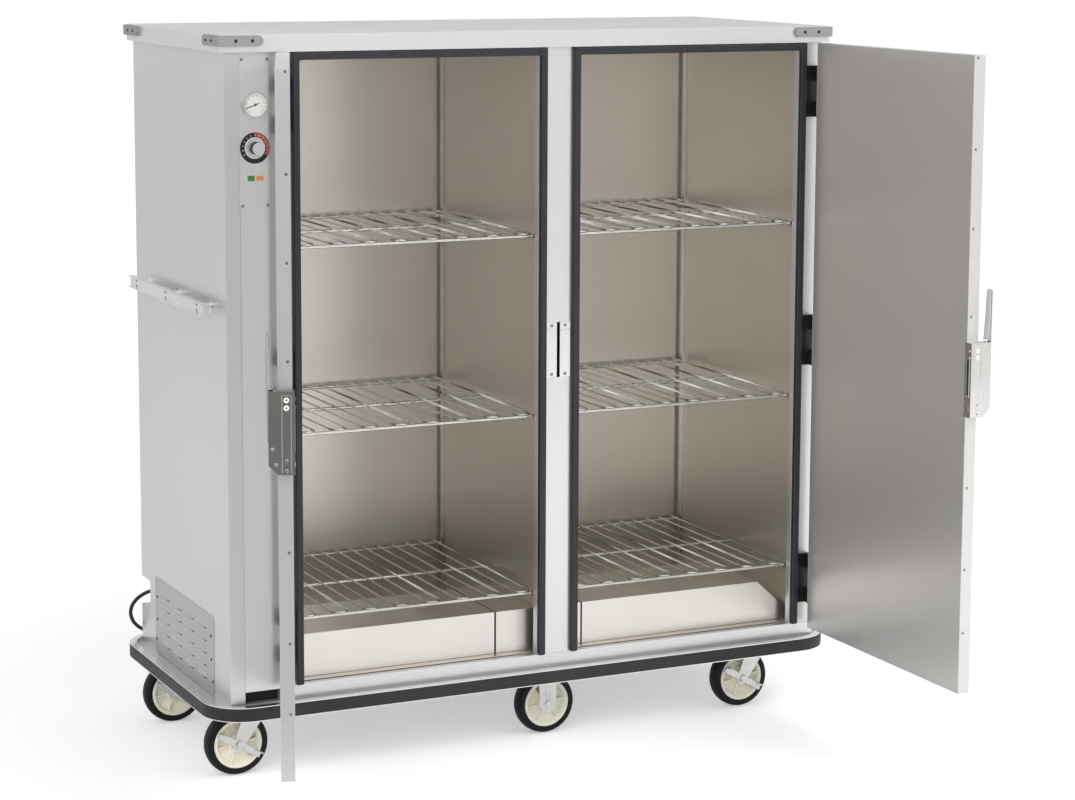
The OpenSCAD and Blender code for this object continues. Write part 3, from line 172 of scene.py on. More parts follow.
# Studio
# A pale floor and a white surround under two large soft lamps. The floor is lit as the object is, and only its own
# brightness in the picture is lifted to the surround's white, less near the cabinet and less in what the metal
# mirrors, so that it keeps the shadows.
floor_paint = bpy.data.materials.new("pale_floor")
floor_paint.use_nodes = True
tree = floor_paint.node_tree
tree.nodes.clear()
path = add(tree, "ShaderNodeLightPath", {})
seen = add(tree, "ShaderNodeMath", {0: path.outputs["Is Camera Ray"], 1: path.outputs["Is Transmission Ray"]},
           operation="MAXIMUM").outputs[0]
mirrored_share = 0.35
seen = add(tree, "ShaderNodeMath", {0: path.outputs["Is Glossy Ray"], 1: mirrored_share, 2: seen},
           operation="MULTIPLY_ADD").outputs[0]
place = add(tree, "ShaderNodeTexCoord", {}).outputs["Object"]
away = add(tree, "ShaderNodeVectorMath", {0: place}, operation="LENGTH").outputs["Value"]
near, far, near_lift, far_lift = 1.0, 2.6, 0.36, 0.6
amount = add(tree, "ShaderNodeMapRange", {0: away, 1: near, 2: far, 3: near_lift, 4: far_lift},
             interpolation_type="SMOOTHSTEP")
lift = add(tree, "ShaderNodeMath", {0: seen, 1: amount.outputs[0]}, operation="MULTIPLY").outputs[0]
matt = add(tree, "ShaderNodeBsdfDiffuse", {"Color": linear("#f2f2f2")}).outputs[0]
glow = add(tree, "ShaderNodeEmission", {"Color": linear("#ffffff"), "Strength": lift}).outputs[0]
both = add(tree, "ShaderNodeAddShader", {0: matt, 1: glow}).outputs[0]
add(tree, "ShaderNodeOutputMaterial", {"Surface": both})
bm = bmesh.new()
bmesh.ops.create_grid(bm, x_segments=1, y_segments=1, size=40)
floor_mesh = bpy.data.meshes.new("studio_floor")
bm.to_mesh(floor_mesh)
bm.free()
floor_mesh.materials.append(floor_paint)
floor = bpy.data.objects.new("studio_floor", floor_mesh)
scene.collection.objects.link(floor)

surround = bpy.data.worlds.new("white_surround")
scene.world = surround
surround.use_nodes = True
tree = surround.node_tree
tree.nodes.clear()
path = add(tree, "ShaderNodeLightPath", {})
seen = add(tree, "ShaderNodeMath", {0: path.outputs["Is Camera Ray"], 1: path.outputs["Is Glossy Ray"]},
           operation="MAXIMUM").outputs[0]
seen = add(tree, "ShaderNodeMath", {0: seen, 1: path.outputs["Is Transmission Ray"]}, operation="MAXIMUM").outputs[0]
level_of = add(tree, "ShaderNodeMapRange", {0: seen, 3: 0.55, 4: 1.0}).outputs[0]
sky = add(tree, "ShaderNodeBackground", {"Color": linear("#ffffff"), "Strength": level_of}).outputs[0]
add(tree, "ShaderNodeOutputWorld", {"Surface": sky})
lamp_size = 3.0
lamp_aim = Vector((0, 0, 0.9))
for name, at, power in (("key_lamp", (2.6, -4.2, 4.4), 165), ("fill_lamp", (-3.8, -3.6, 3.0), 105)):
    lamp = bpy.data.lights.new(name, "AREA")
    lamp.shape = "SQUARE"
    lamp.size = lamp_size
    lamp.energy = power
    holder = bpy.data.objects.new(name, lamp)
    holder.location = at
    holder.rotation_euler = (lamp_aim - Vector(at)).to_track_quat("-Z", "Y").to_euler()
    holder.visible_glossy = False
    scene.collection.objects.link(holder)
# Grey cards stand where the left side, the left door's edge and the cap mirror the studio, as its dark ends do
for name, tone, size, turn, at in (("side_card", "#d0d0d0", (3.2, 2.6), 65, (-4.6, 5.4, 1.9)),
                                   ("edge_card", "#a2a2a2", (0.5, 0.87), -15, (-1.06, -1.67, 0.88)),
                                   ("cap_card", "#c0c0c0", (3.4, 0.9), -26, (2.2, 5.0, 2.7))):
    paint = bpy.data.materials.new(name)
    paint.use_nodes = True
    tree = paint.node_tree
    tree.nodes.clear()
    glow = add(tree, "ShaderNodeEmission", {"Color": linear(tone), "Strength": 1.0}).outputs[0]
    add(tree, "ShaderNodeOutputMaterial", {"Surface": glow})
    bm = bmesh.new()
    bmesh.ops.create_grid(bm, x_segments=1, y_segments=1, size=1)
    bmesh.ops.scale(bm, vec=(*size, 1), verts=bm.verts)
    bmesh.ops.rotate(bm, matrix=Matrix.Rotation(math.radians(90), 3, "X"), verts=bm.verts)
    bmesh.ops.rotate(bm, matrix=Matrix.Rotation(math.radians(turn), 3, "Z"), verts=bm.verts)
    bmesh.ops.translate(bm, vec=at, verts=bm.verts)
    mesh = bpy.data.meshes.new(name)
    bm.to_mesh(mesh)
    bm.free()
    mesh.materials.append(paint)
    card = bpy.data.objects.new(name, mesh)
    scene.collection.objects.link(card)
    card.visible_camera = False
    card.visible_diffuse = False
    card.visible_shadow = False


# Outer sheets
# Side, back and column sheets of stainless steel with a fine polish along their length, folded at the edges.
# The polish draws reflections out across its lines and leaves a soft, slightly cloudy grey.
def round_edges(width, *names):
    """CAD nodes get a small round, in mm, along their sharp edges."""
    for name in names:
        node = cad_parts[name]
        node.modifiers.new("joined", "WELD").merge_threshold = 0.00001
        edge = node.modifiers.new("edges", "BEVEL")
        edge.width = width / 1000
        edge.segments = 2
        edge.limit_method = "ANGLE"
        edge.angle_limit = math.radians(40)
        edge.use_clamp_overlap = True
        node.modifiers.new("shading", "WEIGHTED_NORMAL").keep_sharp = True


# The polish lines are about 0.1 mm wide: they are drawn 0.5 mm wide here so that they show close up
polished = surface("polished_stainless", "#e0e0e0", "#dcdcdc", 0.34, (160, 160, 0.5), spread=0.02, height=0.0003,
                   cloud=600, Metallic=0.85)
dress(polished, "side_panel_left", "side_panel_right", "back_panel")
bright = surface("bright_stainless", "#e6e6e6", "#e2e2e2", 0.3, (160, 160, 0.5), spread=0.02, height=0.0003,
                 cloud=600, Metallic=0.8)
dress(bright, "column_panel", "control_plate", "face_frame", "mullion")
round_edges(0.5, "side_panel_left", "side_panel_right", "back_panel", "column_panel", "control_plate")

# Cap and its corner bumpers
# A shallow stainless pan is turned over the body, and a grey moulded bumper is screwed round each of its corners.
# The moulded plastic is matt with a fine spark-eroded grain.
dress(bright, "top_cap")
round_edges(0.6, "top_cap")
grey_moulding = surface("grey_moulded_vinyl", "#9c9c9c", "#8a8a8a", 0.55, (2, 2, 2), height=0.08)
dress(grey_moulding, "corner_bumpers")
round_edges(2.0, "corner_bumpers")


# Base and bumper
# A stainless deck with a turned-down rim carries the body. An aluminium channel runs round it with bright lips above
# and below, and a dark vinyl strip is pressed into the channel.
def block(bm, low, high, edge=0.0):
    """A block between two corners, with rounded edges where edge is given."""
    before = set(bm.verts)
    made = bmesh.ops.create_cube(bm, size=1)["verts"]
    bmesh.ops.scale(bm, vec=Vector(high) - Vector(low), verts=made)
    bmesh.ops.translate(bm, vec=(Vector(high) + Vector(low)) / 2, verts=made)
    if edge:
        around = list({e for v in made for e in v.link_edges})
        bmesh.ops.bevel(bm, geom=around, offset=edge, affect="EDGES", segments=2, profile=0.5, material=-1)
    return [v for v in bm.verts if v not in before]


def piece(name, bm, material, body, replaces=(), crease=35):
    """The drawn mesh, in mm, becomes a piece of the cabinet in metres that rides on a body."""
    bmesh.ops.remove_doubles(bm, verts=bm.verts, dist=0.001)
    bmesh.ops.recalc_face_normals(bm, faces=bm.faces)
    bmesh.ops.scale(bm, vec=(0.001, 0.001, 0.001), verts=bm.verts)
    mesh = bpy.data.meshes.new(name)
    bm.to_mesh(mesh)
    bm.free()
    mesh.shade_smooth()
    mesh.set_sharp_from_angle(angle=math.radians(crease))
    mesh.materials.append(material)
    made = bpy.data.objects.new(name, mesh)
    scene.collection.objects.link(made)
    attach(made, body)
    if replaces:
        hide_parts(*replaces)
    return made


dress(polished, "base_frame")
anodised = surface("satin_aluminium", "#f0f0f0", "#e6e6e6", 0.25, (120, 120, 0.5), spread=0.03, height=0.0005,
                   Metallic=1.0)
dress(anodised, "bumper_channel")
round_edges(0.5, "bumper_channel")
vinyl = surface("extruded_vinyl", "#3a3a3a", "#2a2a2a", 0.5, (180, 180, 5), height=0.12, Specular_IOR_Level=0.3)
dress(vinyl, "bumper_strip")
round_edges(3.0, "bumper_strip")
# The channel's lips reach out over the strip to half a millimetre from its face
lip_t, lip_reach, lip_inset, lip_corner = 2, 6.5, 0.5, 99.5
low, high = (Vector(corner) * 1000 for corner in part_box("bumper_strip"))
bm = bmesh.new()
block(bm, (low.x + lip_inset, low.y + lip_inset, low.z - lip_t), (high.x - lip_inset, high.y - lip_inset, low.z))
uprights = [e for e in bm.edges if abs(e.verts[0].co.z - e.verts[1].co.z) > 1]
bmesh.ops.bevel(bm, geom=uprights, offset=lip_corner, affect="EDGES", segments=16, profile=0.5, material=-1)
bmesh.ops.delete(bm, geom=[f for f in bm.faces if abs(f.normal.z) > 0.9], context="FACES_ONLY")
bmesh.ops.solidify(bm, geom=bm.faces[:], thickness=lip_reach)
second_lip = bmesh.ops.duplicate(bm, geom=bm.verts[:] + bm.edges[:] + bm.faces[:])["geom"]
raised = [v for v in second_lip if isinstance(v, bmesh.types.BMVert)]
bmesh.ops.translate(bm, vec=(0, 0, high.z - low.z + lip_t), verts=raised)
piece("bumper_lips", bm, anodised, "cabinet")

# Louvred panel
# A pressed steel sheet with four columns of half-round louvres lets cooling air into the foot of the control column.
# It is bead blasted, so it is duller than the sheets round it. Dark blocks under the louvres and in the column's
# slot are painted shade in the openings.
blasted = surface("bead_blasted_steel", "#cacaca", "#bcbcbc", 0.45, (1.5, 1.5, 1.5), height=0.03, Metallic=0.9)
bm = bmesh.new()
block(bm, (-777.5, -222, 188), (-776, 222, 378))
corners = [e for e in bm.edges if abs(e.verts[0].co.x - e.verts[1].co.x) > 1]
bmesh.ops.bevel(bm, geom=corners, offset=10, affect="EDGES", segments=4, profile=0.5, material=-1)
column_pitch, row_pitch, middle_row = 92, 30, 283
louvres = [(column_pitch * (c - 1.5), middle_row + row_pitch * (k - 2)) for c in range(4) for k in range(5)]
for y, z in louvres:
    bulge = bmesh.ops.create_uvsphere(bm, u_segments=28, v_segments=14, radius=1)["verts"]
    for v in bulge:
        v.co.z *= 10 if v.co.z > 0 else 2.5
    bmesh.ops.scale(bm, vec=(5.6, 36, 1), verts=bulge)
    bmesh.ops.translate(bm, vec=(-777, y, z - 2), verts=bulge)
piece("pressed_louvre_panel", bm, blasted, "cabinet", ["louvre_panel"], 60)
# Dark blocks under each louvre and in the column's air slot: painted shade in the openings
shade = surface("painted_shade_in_openings", "#2c2c2c", "#202020", 0.7, (4, 4, 4), height=0.02)
bm = bmesh.new()
for y, z in louvres:
    block(bm, (-778.4, y - 31, z - 6.4), (-777.2, y + 31, z - 4.2))
block(bm, (-739.5, -311, 187), (-656.5, -309, 240))
piece("painted_shade_openings", bm, shade, "cabinet")

# Push rails
# An extruded aluminium channel stands off each side on three round posts.
# It has the same satin finish as the bumper's channel.
dress(anodised, "push_rails")
round_edges(0.5, "push_rails")


# Control column
# A stainless plate on the column holds a dial thermometer, a thermostat with a turned knob, and a lit rocker switch.
# The thermometer's face is printed tin behind glass, and the thermostat's dial is black with printed marks.
def turned(bm, outline, at, facing, steps=32):
    """An outline of (radius, height) points spun round the line that faces a direction from a point."""
    before = set(bm.verts)
    points = [bm.verts.new((r, 0, h)) for r, h in outline]
    edges = [bm.edges.new(pair) for pair in zip(points, points[1:])]
    bmesh.ops.spin(bm, geom=points + edges, cent=(0, 0, 0), axis=(0, 0, 1), angle=math.tau, steps=steps,
                   use_merge=True)
    made = [v for v in bm.verts if v not in before]
    place = Vector((0, 0, 1)).rotation_difference(Vector(facing)).to_matrix().to_4x4()
    bmesh.ops.transform(bm, matrix=Matrix.Translation(at) @ place, verts=made)
    return made


front = (0, -1, 0)
column_x = -704.72
thermo_z, dial_z, switch_z = 1573, 1476, 1408
chromed = surface("chromed_bezel", "#e6e6e6", "#cfcfcf", 0.16, (3, 3, 3), spread=0.04, height=0.005, Metallic=1.0)
dress(chromed, "thermometer_case")
round_edges(0.6, "thermometer_case")
printed_white = surface("white_printed_tin", "#f4f4f1", "#e9e9e5", 0.4, (4, 4, 4), height=0.01)
bm = bmesh.new()
turned(bm, [(1.4, 0), (26.6, 0), (26.6, 0.2), (1.4, 0.2), (1.4, 0)], (column_x, -342.55, thermo_z), front, 48)
piece("thermometer_face", bm, printed_white, "cabinet")
# Black print for the marks, also used as painted shade in the latch case's openings
black_ink_and_shade = surface("black_print_and_painted_shade", "#2b2b2b", "#1f1f1f", 0.5, (2, 2, 2), height=0.01)
bm = bmesh.new()
for k in range(28):
    inner = 17.5 if k % 3 == 0 else 20.5
    mark = block(bm, (-0.35, -342.86, inner), (0.35, -342.7, 24))
    bmesh.ops.rotate(bm, matrix=Matrix.Rotation(math.radians(-135 + 10 * k), 3, "Y"), verts=mark)
    bmesh.ops.translate(bm, vec=(column_x, 0, thermo_z), verts=mark)
piece("thermometer_marks", bm, black_ink_and_shade, "cabinet")
needle_paint = surface("needle_enamel", "#3a3a3a", "#2a2a2a", 0.4, (2, 2, 2), height=0.01)
dress(needle_paint, "thermometer_needle")
glass = surface("clear_glass", "#ffffff", "#fbfbfb", 0.03, (8, 8, 8), spread=0.01, height=0.0, IOR=1.45,
                Transmission_Weight=1.0)
bm = bmesh.new()
lens_outline = [(0, 0.7), (14, 0.6), (26.8, 0.2), (26.8, 0), (14, 0.4), (0, 0.5)]
turned(bm, lens_outline, (column_x, -344.4, thermo_z), front, 48)
piece("thermometer_glass", bm, glass, "cabinet").visible_shadow = False

# Phenolic dial: pressed and black, with white print and a red warm zone on its right
phenolic = surface("black_phenolic", "#232323", "#161616", 0.38, (3, 3, 3), height=0.02)
dress(phenolic, "thermostat", "cord_gland", "cord_tie")
pale_bezel = surface("pale_switch_bezel", "#e0e0dc", "#d2d2ce", 0.4, (3, 3, 3), height=0.02)
dress(pale_bezel, "switch_housing")
round_edges(0.5, "switch_housing")
white_print = surface("white_print", "#f2f2f2", "#e6e6e6", 0.5, (2, 2, 2), height=0.01)
bm = bmesh.new()
for k in range(15):
    if 130 < (20 * k - 140) % 360 < 230:
        continue
    mark = block(bm, (-0.5, -338.35, 27.5 if k % 2 else 26.5), (0.5, -338, 31))
    bmesh.ops.rotate(bm, matrix=Matrix.Rotation(math.radians(-140 + 20 * k), 3, "Y"), verts=mark)
    bmesh.ops.translate(bm, vec=(column_x, 0, dial_z), verts=mark)
turned(bm, [(21.6, 0), (24.2, 0), (24.2, 0.3), (21.6, 0.3), (21.6, 0)], (column_x, -338, dial_z), front, 48)
piece("thermostat_marks", bm, white_print, "cabinet")
red_print = surface("red_print", "#c9575a", "#b94a4e", 0.45, (2, 2, 2), height=0.01)
bm = bmesh.new()
band = [bm.verts.new((0, y, z)) for y, z in ((-338, 26), (-338.2, 26), (-338.2, 33.8), (-338, 33.8))]
face = bm.faces.new(band)
bmesh.ops.spin(bm, geom=[face] + face.edges[:] + band, cent=(0, 0, 0), axis=(0, 1, 0),
               angle=math.radians(120), steps=24)
bmesh.ops.translate(bm, vec=(column_x, 0, dial_z), verts=bm.verts)
piece("thermostat_warm_zone", bm, red_print, "cabinet")
turned_aluminium = surface("turned_aluminium", "#f2f2f2", "#dcdcdc", 0.24, (1.5, 40, 1.5), height=0.004,
                           Metallic=0.7)
dress(turned_aluminium, "thermostat_knob")
round_edges(0.8, "thermostat_knob")
bm = bmesh.new()
turned(bm, [(14.05, 0), (14.6, 0.4), (14.6, 15.6), (14.05, 16), (14.05, 0)], (column_x, -344.6, dial_z), front, 40)
piece("knob_band", bm, black_ink_and_shade, "knob")

# Lit rocker: clear-dyed polycarbonate over a lamp, green for power and amber for heat
green = surface("green_polycarbonate", "#4f9a57", "#3d8547", 0.22, (6, 6, 6), height=0.01, IOR=1.58)
dress(green, "power_rocker")
round_edges(0.6, "power_rocker")
amber = surface("amber_polycarbonate", "#f0954a", "#e2853a", 0.22, (6, 6, 6), height=0.01, IOR=1.58)
bm = bmesh.new()
block(bm, (column_x + 1.85, -340.1, switch_z - 5.15), (column_x + 18.15, -338.6, switch_z + 5.15), 0.6)
piece("amber_lens", bm, amber, "cabinet")

# Front frame, mullion and strikes
# Folded stainless channels frame the two openings. Two bright strike plates stand on the mullion, each with a ridge
# that the latch's rollers close over, and a dark extruded gasket runs round the sides and top of each opening.
round_edges(0.6, "face_frame", "mullion")
strike_steel = surface("bright_strike_steel", "#f2f2f0", "#e2e2df", 0.22, (2, 40, 2), height=0.004, Metallic=1.0)
dress(strike_steel, "strike_plates")
round_edges(0.6, "strike_plates")
gasket_rubber = surface("extruded_gasket_rubber", "#2a2a30", "#1e1e24", 0.36, (5, 5, 90), height=0.05)
dress(gasket_rubber, "door_gaskets")
round_edges(4.0, "door_gaskets")

# Cavity
# The liner is stainless sheet with a warm tone from the heat, and mineral wool fills the walls behind it; the wool
# is coloured a dark brown as painted shade, for the dark line under the covers and the dark air slot.
# Pale folded covers stand over the heating tubes on the floor.
liner_steel = surface("warm_liner_steel", "#e6e1d9", "#dcd6cd", 0.32, (160, 160, 0.5), spread=0.03, height=0.0008,
                      cloud=500, Metallic=0.85)
dress(liner_steel, "liner")
# The wool's dark brown is painted shade where it shows under the heater covers and in the column's air slot
wool_and_painted_shade = surface("mineral_wool_darkened_as_painted_shade", "#6d6254", "#4d4439", 0.95, (6, 6, 6), height=0.6)
dress(wool_and_painted_shade, "insulation", "door_left_fill", "door_right_fill")
cover_steel = surface("pale_cover_steel", "#ece8e2", "#e4dfd8", 0.32, (160, 160, 0.5), spread=0.03, height=0.0006,
                      Metallic=1.0)
dress(cover_steel, "heater_covers")
round_edges(0.5, "heater_covers")
sheathed = surface("sheathed_heating_tube", "#4a443f", "#2c2724", 0.55, (10, 10, 10), height=0.05, Metallic=0.8)
dress(sheathed, "heater_elements")


# Shelves
# Each shelf is welded from round rods: three along its length, with hairpins of wire across them whose bends lie on
# the front rod. The wire is nickel-chromed and mirrors its surroundings in thin bright lines.
def rod(bm, start, end, radius, sides=10):
    """A round bar between two points."""
    line = Vector(end) - Vector(start)
    place = Matrix.Translation((Vector(start) + Vector(end)) / 2) @ line.to_track_quat("Z", "Y").to_matrix().to_4x4()
    return bmesh.ops.create_cone(bm, cap_ends=True, segments=sides, radius1=radius, radius2=radius,
                                 depth=line.length, matrix=place)["verts"]


chrome_wire = surface("chromed_wire", "#e4e2de", "#c9c6c0", 0.2, (30, 30, 30), spread=0.05, height=0.004,
                      Metallic=1.0)
dress(chrome_wire, "shelf_supports")
round_edges(0.6, "shelf_supports")
door_mid = 55
shelf_x0, shelf_x1 = 38, 667
rod_ys, rod_r, weld = (-307.7, -15.35, 277), 4, 0.6
wire, bend, pins = 2.5, 19.65, 8
bend_y, wire_back = rod_ys[0] + bend - 5, 282
bm = bmesh.new()
for side in (-1, 1):
    for z in (374, 808, 1242):
        for y in rod_ys:
            rod(bm, (door_mid + side * shelf_x0, y, z), (door_mid + side * shelf_x1, y, z), rod_r, 14)
        top = z + rod_r + wire - weld
        for k in range(pins):
            x = door_mid + side * (shelf_x0 + (shelf_x1 - shelf_x0) * (k + 0.5) / pins)
            for s in (-1, 1):
                rod(bm, (x + s * bend, bend_y, top), (x + s * bend, wire_back, top), wire)
            before = set(bm.verts)
            stand = Matrix.Translation((bend, 0, 0)) @ Matrix.Rotation(math.radians(90), 4, "X")
            ring = bmesh.ops.create_circle(bm, segments=10, radius=wire, matrix=stand)["verts"]
            edges = list({e for v in ring for e in v.link_edges})
            bmesh.ops.spin(bm, geom=ring + edges, cent=(0, 0, 0), axis=(0, 0, 1), angle=-math.pi, steps=10)
            arc = [v for v in bm.verts if v not in before]
            bmesh.ops.translate(bm, vec=(x, bend_y, top), verts=arc)
piece("wire_shelves", bm, chrome_wire, "cabinet", ["shelves"], 50)


# Doors
# Each door is a stainless pan with a sheet set into its back and mineral wool between them.
# Countersunk screws hold the two together along the free edge.
def hung(side):
    """The place of a closed right-hand door's piece on the door as it stands open, in mm."""
    turn = math.radians(110.4 if side < 0 else 90.3)
    pin = Matrix.Translation((700.7, -362.3, 0))
    turned_over = Matrix.Scale(-1, 4, (1, 0, 0)) if side < 0 else Matrix()
    return Matrix.Translation((door_mid, 0, 0)) @ turned_over @ pin @ Matrix.Rotation(turn, 4, "Z") @ pin.inverted()


door_steel = surface("door_stainless", "#e0dfdd", "#dbdad8", 0.3, (0.5, 0.5, 200), spread=0.02, height=0.0004,
                     cloud=500, Metallic=0.66)
dress(door_steel, "door_left_skin", "door_right_skin")
round_edges(0.5, "door_left_skin", "door_right_skin")
screw_steel = surface("screw_steel", "#a6a6a4", "#8e8e8c", 0.34, (3, 3, 3), height=0.005, Metallic=1.0)
flush_head = [(0, 0.3), (1.2, 0.35), (1.5, 0.9), (2.6, 0.8), (3.4, 0), (0, 0)]
head_steps = 14
sides = {-1: "left", 1: "right"}
for side, name in sides.items():
    bm = bmesh.new()
    for z in (1684, 1479, 1300, 1100, 705, 514, 365):
        turned(bm, flush_head, (29.7, -356.3, z), (-1, 0, 0), head_steps)
    bmesh.ops.transform(bm, matrix=hung(side), verts=bm.verts)
    piece(f"door_{name}_screws", bm, screw_steel, f"door_{name}")

# Hinges
# The frame half is a black-painted plate with two arms, and the door half a bright plate with the middle knuckle.
black_paint = surface("black_stove_enamel", "#262626", "#161616", 0.4, (3, 3, 3), height=0.03)
dress(black_paint, "hinge_frame_leaves")
round_edges(0.5, "hinge_frame_leaves")
dress(strike_steel, "hinge_leaves_left", "hinge_leaves_right")
round_edges(0.4, "hinge_leaves_left", "hinge_leaves_right")


# Latches
# A stainless case is screwed over each door's free edge, with two nylon rollers that snap over the strike's ridge.
# The lever is a strip of spring steel folded into a hairpin.
def strip(bm, path, half_width, thickness):
    """A flat strip that follows points in the plane of Y and Z, as wide along X on both sides."""
    points = [bm.verts.new((-half_width, y, z)) for y, z in path]
    edges = [bm.edges.new(pair) for pair in zip(points, points[1:])]
    made = bmesh.ops.extrude_edge_only(bm, edges=edges)["geom"]
    over = [g for g in made if isinstance(g, bmesh.types.BMVert)]
    bmesh.ops.translate(bm, vec=(2 * half_width, 0, 0), verts=over)
    faces = [g for g in made if isinstance(g, bmesh.types.BMFace)]
    bmesh.ops.recalc_face_normals(bm, faces=faces)
    bmesh.ops.solidify(bm, geom=faces, thickness=thickness)


# A darker copy of the case steel for the left case: painted shade
latch_steel_painted_shade = surface("latch_stainless_painted_shade", "#b4b3b1", "#a6a5a2", 0.24, (0.5, 0.5, 60), spread=0.03, height=0.0006,
                      Metallic=1.0)
dress(latch_steel_painted_shade, "latch_case_left")
# The cases are one steel: the left case's darker tone is painted shade, and the right case, turned to the lamps,
# takes the strikes' bright steel as painted light
dress(strike_steel, "latch_case_right")
round_edges(0.8, "latch_case_left", "latch_case_right")
nylon = surface("white_nylon", "#f4f3ee", "#e6e4dc", 0.42, (4, 4, 4), height=0.01)
hairpin = [(-386.5, 1048), (-388.5, 1058), (-390.5, 1090), (-392.5, 1130), (-393.5, 1155), (-394.6, 1161),
           (-397, 1164), (-399.2, 1161.5), (-400, 1156), (-399.6, 1090), (-399, 1000), (-398.4, 945)]
roller_outline = [(2, 0), (2, 1), (3, 1.4), (5, 1.3), (5.8, 0.6), (5.8, 0)]
lever_x, case_edge, roller_y, case_back, keyhole_z = 17.2, 4.7, -359.5, -342.3, 891
for side, name in sides.items():
    bm = bmesh.new()
    strip(bm, hairpin, 8, 1.6)
    bmesh.ops.translate(bm, vec=(lever_x, 0, 0), verts=bm.verts)
    rod(bm, (7.5, -389.3, 943), (26.9, -389.3, 943), 3, 16)
    block(bm, (9.2, -398.9, 938), (25.2, -388, 946.5), 0.8)
    bmesh.ops.transform(bm, matrix=hung(side), verts=bm.verts)
    piece(f"latch_{name}_hairpin", bm, strike_steel, f"lever_{name}", [f"latch_lever_{name}"], 40)
    bm = bmesh.new()
    for z in (1025, 1009):
        turned(bm, roller_outline, (case_edge, roller_y, z), (-1, 0, 0), 24)
    bmesh.ops.transform(bm, matrix=hung(side), verts=bm.verts)
    piece(f"latch_{name}_rollers", bm, nylon, f"door_{name}")
    bm = bmesh.new()
    block(bm, (3.7, -369.5, 876), (4.8, -367.5, 1036), 0.4)
    block(bm, (3.7, -351, 876), (4.8, -349, 1036), 0.4)
    block(bm, (3.7, -369.5, 1034), (4.8, -349, 1036), 0.4)
    for y, z in ((roller_y, 901), (roller_y, 880), (-388, 925), (-381, 893)):
        turned(bm, flush_head, (case_edge, y, z), (-1, 0, 0), head_steps)
    turned(bm, [(3, 0), (3, 0.8), (5, 0.6), (5.4, 0), (3, 0)], (lever_x, case_back, keyhole_z), (0, 1, 0), 24)
    for x in (11.4, 20.8):
        block(bm, (x, -342.6, 918), (x + 2, -341.6, 1012), 0.3)
    bmesh.ops.transform(bm, matrix=hung(side), verts=bm.verts)
    piece(f"latch_{name}_trim", bm, strike_steel, f"door_{name}")
    # The case's slot, keyhole and screw sockets are flat black plates: painted shade in these openings
    bm = bmesh.new()
    block(bm, (13.6, -342.6, 922), (20.6, -341.9, 1008))
    turned(bm, [(0, 0.3), (3, 0.3), (3, 0), (0, 0)], (lever_x, case_back, keyhole_z), (0, 1, 0), 24)
    for z in (901, 880):
        turned(bm, [(0, 1.05), (1.3, 1.05), (1.3, 0.3), (0, 0.3)], (case_edge, roller_y, z), (-1, 0, 0), 12)
    bmesh.ops.transform(bm, matrix=hung(side), verts=bm.verts)
    piece(f"latch_{name}_painted_shade_slot", bm, black_ink_and_shade, f"door_{name}")

# Casters
# Zinc-plated forks and pads are pressed from steel plate. The wheels have cream moulded hubs with ribs and a
# recessed web, and black rubber tyres bonded on, and a foot bar works the brake on the swivelling ones.
zinc = surface("bright_zinc_plate", "#e6e6e3", "#d0d1d0", 0.34, (25, 25, 25), height=0.01, Metallic=0.9)
tags = ("fl", "fr", "bl", "br")
forks = [f"caster_fork_{t}" for t in tags]
brakes = [f"brake_pedal_{t}" for t in tags]
dress(zinc, "caster_mounts", *forks, *brakes)
round_edges(0.8, "caster_mounts", *forks, *brakes)
cream = surface("cream_polyolefin", "#faf8ea", "#f4f0de", 0.45, (5, 5, 5), height=0.02)
tyre_rubber = surface("black_tyre_rubber", "#17171a", "#0d0d10", 0.5, (4, 40, 4), height=0.06,
                      Specular_IOR_Level=0.25)
caster_x, caster_y, trail, rigid_x, axle_z = 675, 235, 56, 69, 76
wheels = {f"wheel_{t}": (sx * caster_x - trail, sy * caster_y)
          for t, sx, sy in zip(tags, (-1, 1, -1, 1), (-1, -1, 1, 1))}
wheels["wheel_rigid_front"] = (rigid_x, -caster_y)
wheels["wheel_rigid_back"] = (rigid_x, caster_y)
hub_outline = [(6.2, -20), (20, -20), (22, -18), (23.5, -6), (46, -5), (49, -17), (52, -20), (57, -20), (59, -18),
               (59, 18), (57, 20), (52, 20), (49, 17), (46, 5), (23.5, 6), (22, 18), (20, 20), (6.2, 20),
               (6.2, -20)]
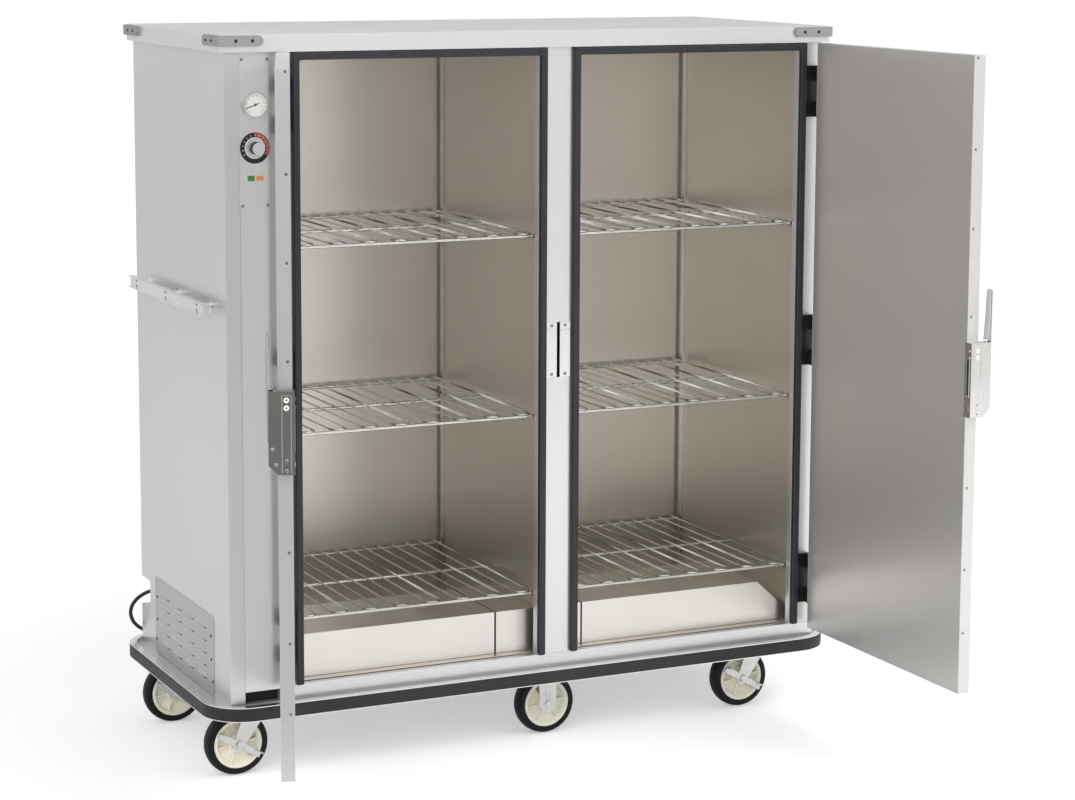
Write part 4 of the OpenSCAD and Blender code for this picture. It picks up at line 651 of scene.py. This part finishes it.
tyre_outline = [(59.05, -19), (63, -20), (69, -19.5), (73, -16.5), (75, -11), (76, -4), (76, 4), (75, 11),
                (73, 16.5), (69, 19.5), (63, 20), (59.05, 19), (59.05, -19)]
for name, (x, y) in wheels.items():
    bm = bmesh.new()
    turned(bm, hub_outline, (x, y, axle_z), front, 56)
    for k in range(6):
        for s in (-1, 1):
            rib = block(bm, (-1.7, min(s * 4, s * 15.5), 20), (1.7, max(s * 4, s * 15.5), 50.5), 0.6)
            bmesh.ops.rotate(bm, matrix=Matrix.Rotation(math.radians(60 * k + 20), 3, "Y"), verts=rib)
            bmesh.ops.translate(bm, vec=(x, y, axle_z), verts=rib)
    piece(f"{name}_hub", bm, cream, name, [name])
    bm = bmesh.new()
    turned(bm, tyre_outline, (x, y, axle_z), front, 72)
    piece(f"{name}_tyre", bm, tyre_rubber, name)

# Screws
# Stainless pan-head screws with a socket hold the control plate, strikes and push rails, and blackened ones the
# louvred panel and the corner bumpers.
pan_head = [(0, 0.7), (1.3, 0.7), (1.5, 1.5), (2.6, 1.4), (3.5, 0.9), (4, 0), (0, 0)]
bm = bmesh.new()
for sx in (-1, 1):
    for z in (1346, 1674):
        turned(bm, pan_head, (column_x + sx * 30, -336.5, z), front, head_steps)
    for z in (911, 1028):
        turned(bm, pan_head, (door_mid + sx * 17.5, -337, z), front, head_steps)
    for y in (-227.14, 0, 227.14):
        for z in (1100, 1114):
            turned(bm, pan_head, (sx * 810, y, z), (sx, 0, 0), head_steps)
piece("pan_head_screws", bm, screw_steel, "cabinet", ["cabinet_screws"])
blackened = surface("blackened_screw_steel", "#3a3a3a", "#262626", 0.4, (3, 3, 3), height=0.02, Metallic=0.7)
bm = bmesh.new()
for sy in (-1, 1):
    for y, z in ((204.24, 328.6), (204.24, 271.6), (213.12, 220.3)):
        turned(bm, pan_head, (-777.5, sy * y, z), (-1, 0, 0), head_steps)
    for sx in (-1, 1):
        for along in (35, 74):
            turned(bm, pan_head, (sx * (788 - along), sy * 355, 1716), (0, sy, 0), head_steps)
            turned(bm, pan_head, (sx * 796, sy * (347 - along), 1716), (sx, 0, 0), head_steps)
piece("blackened_screws", bm, blackened, "cabinet")
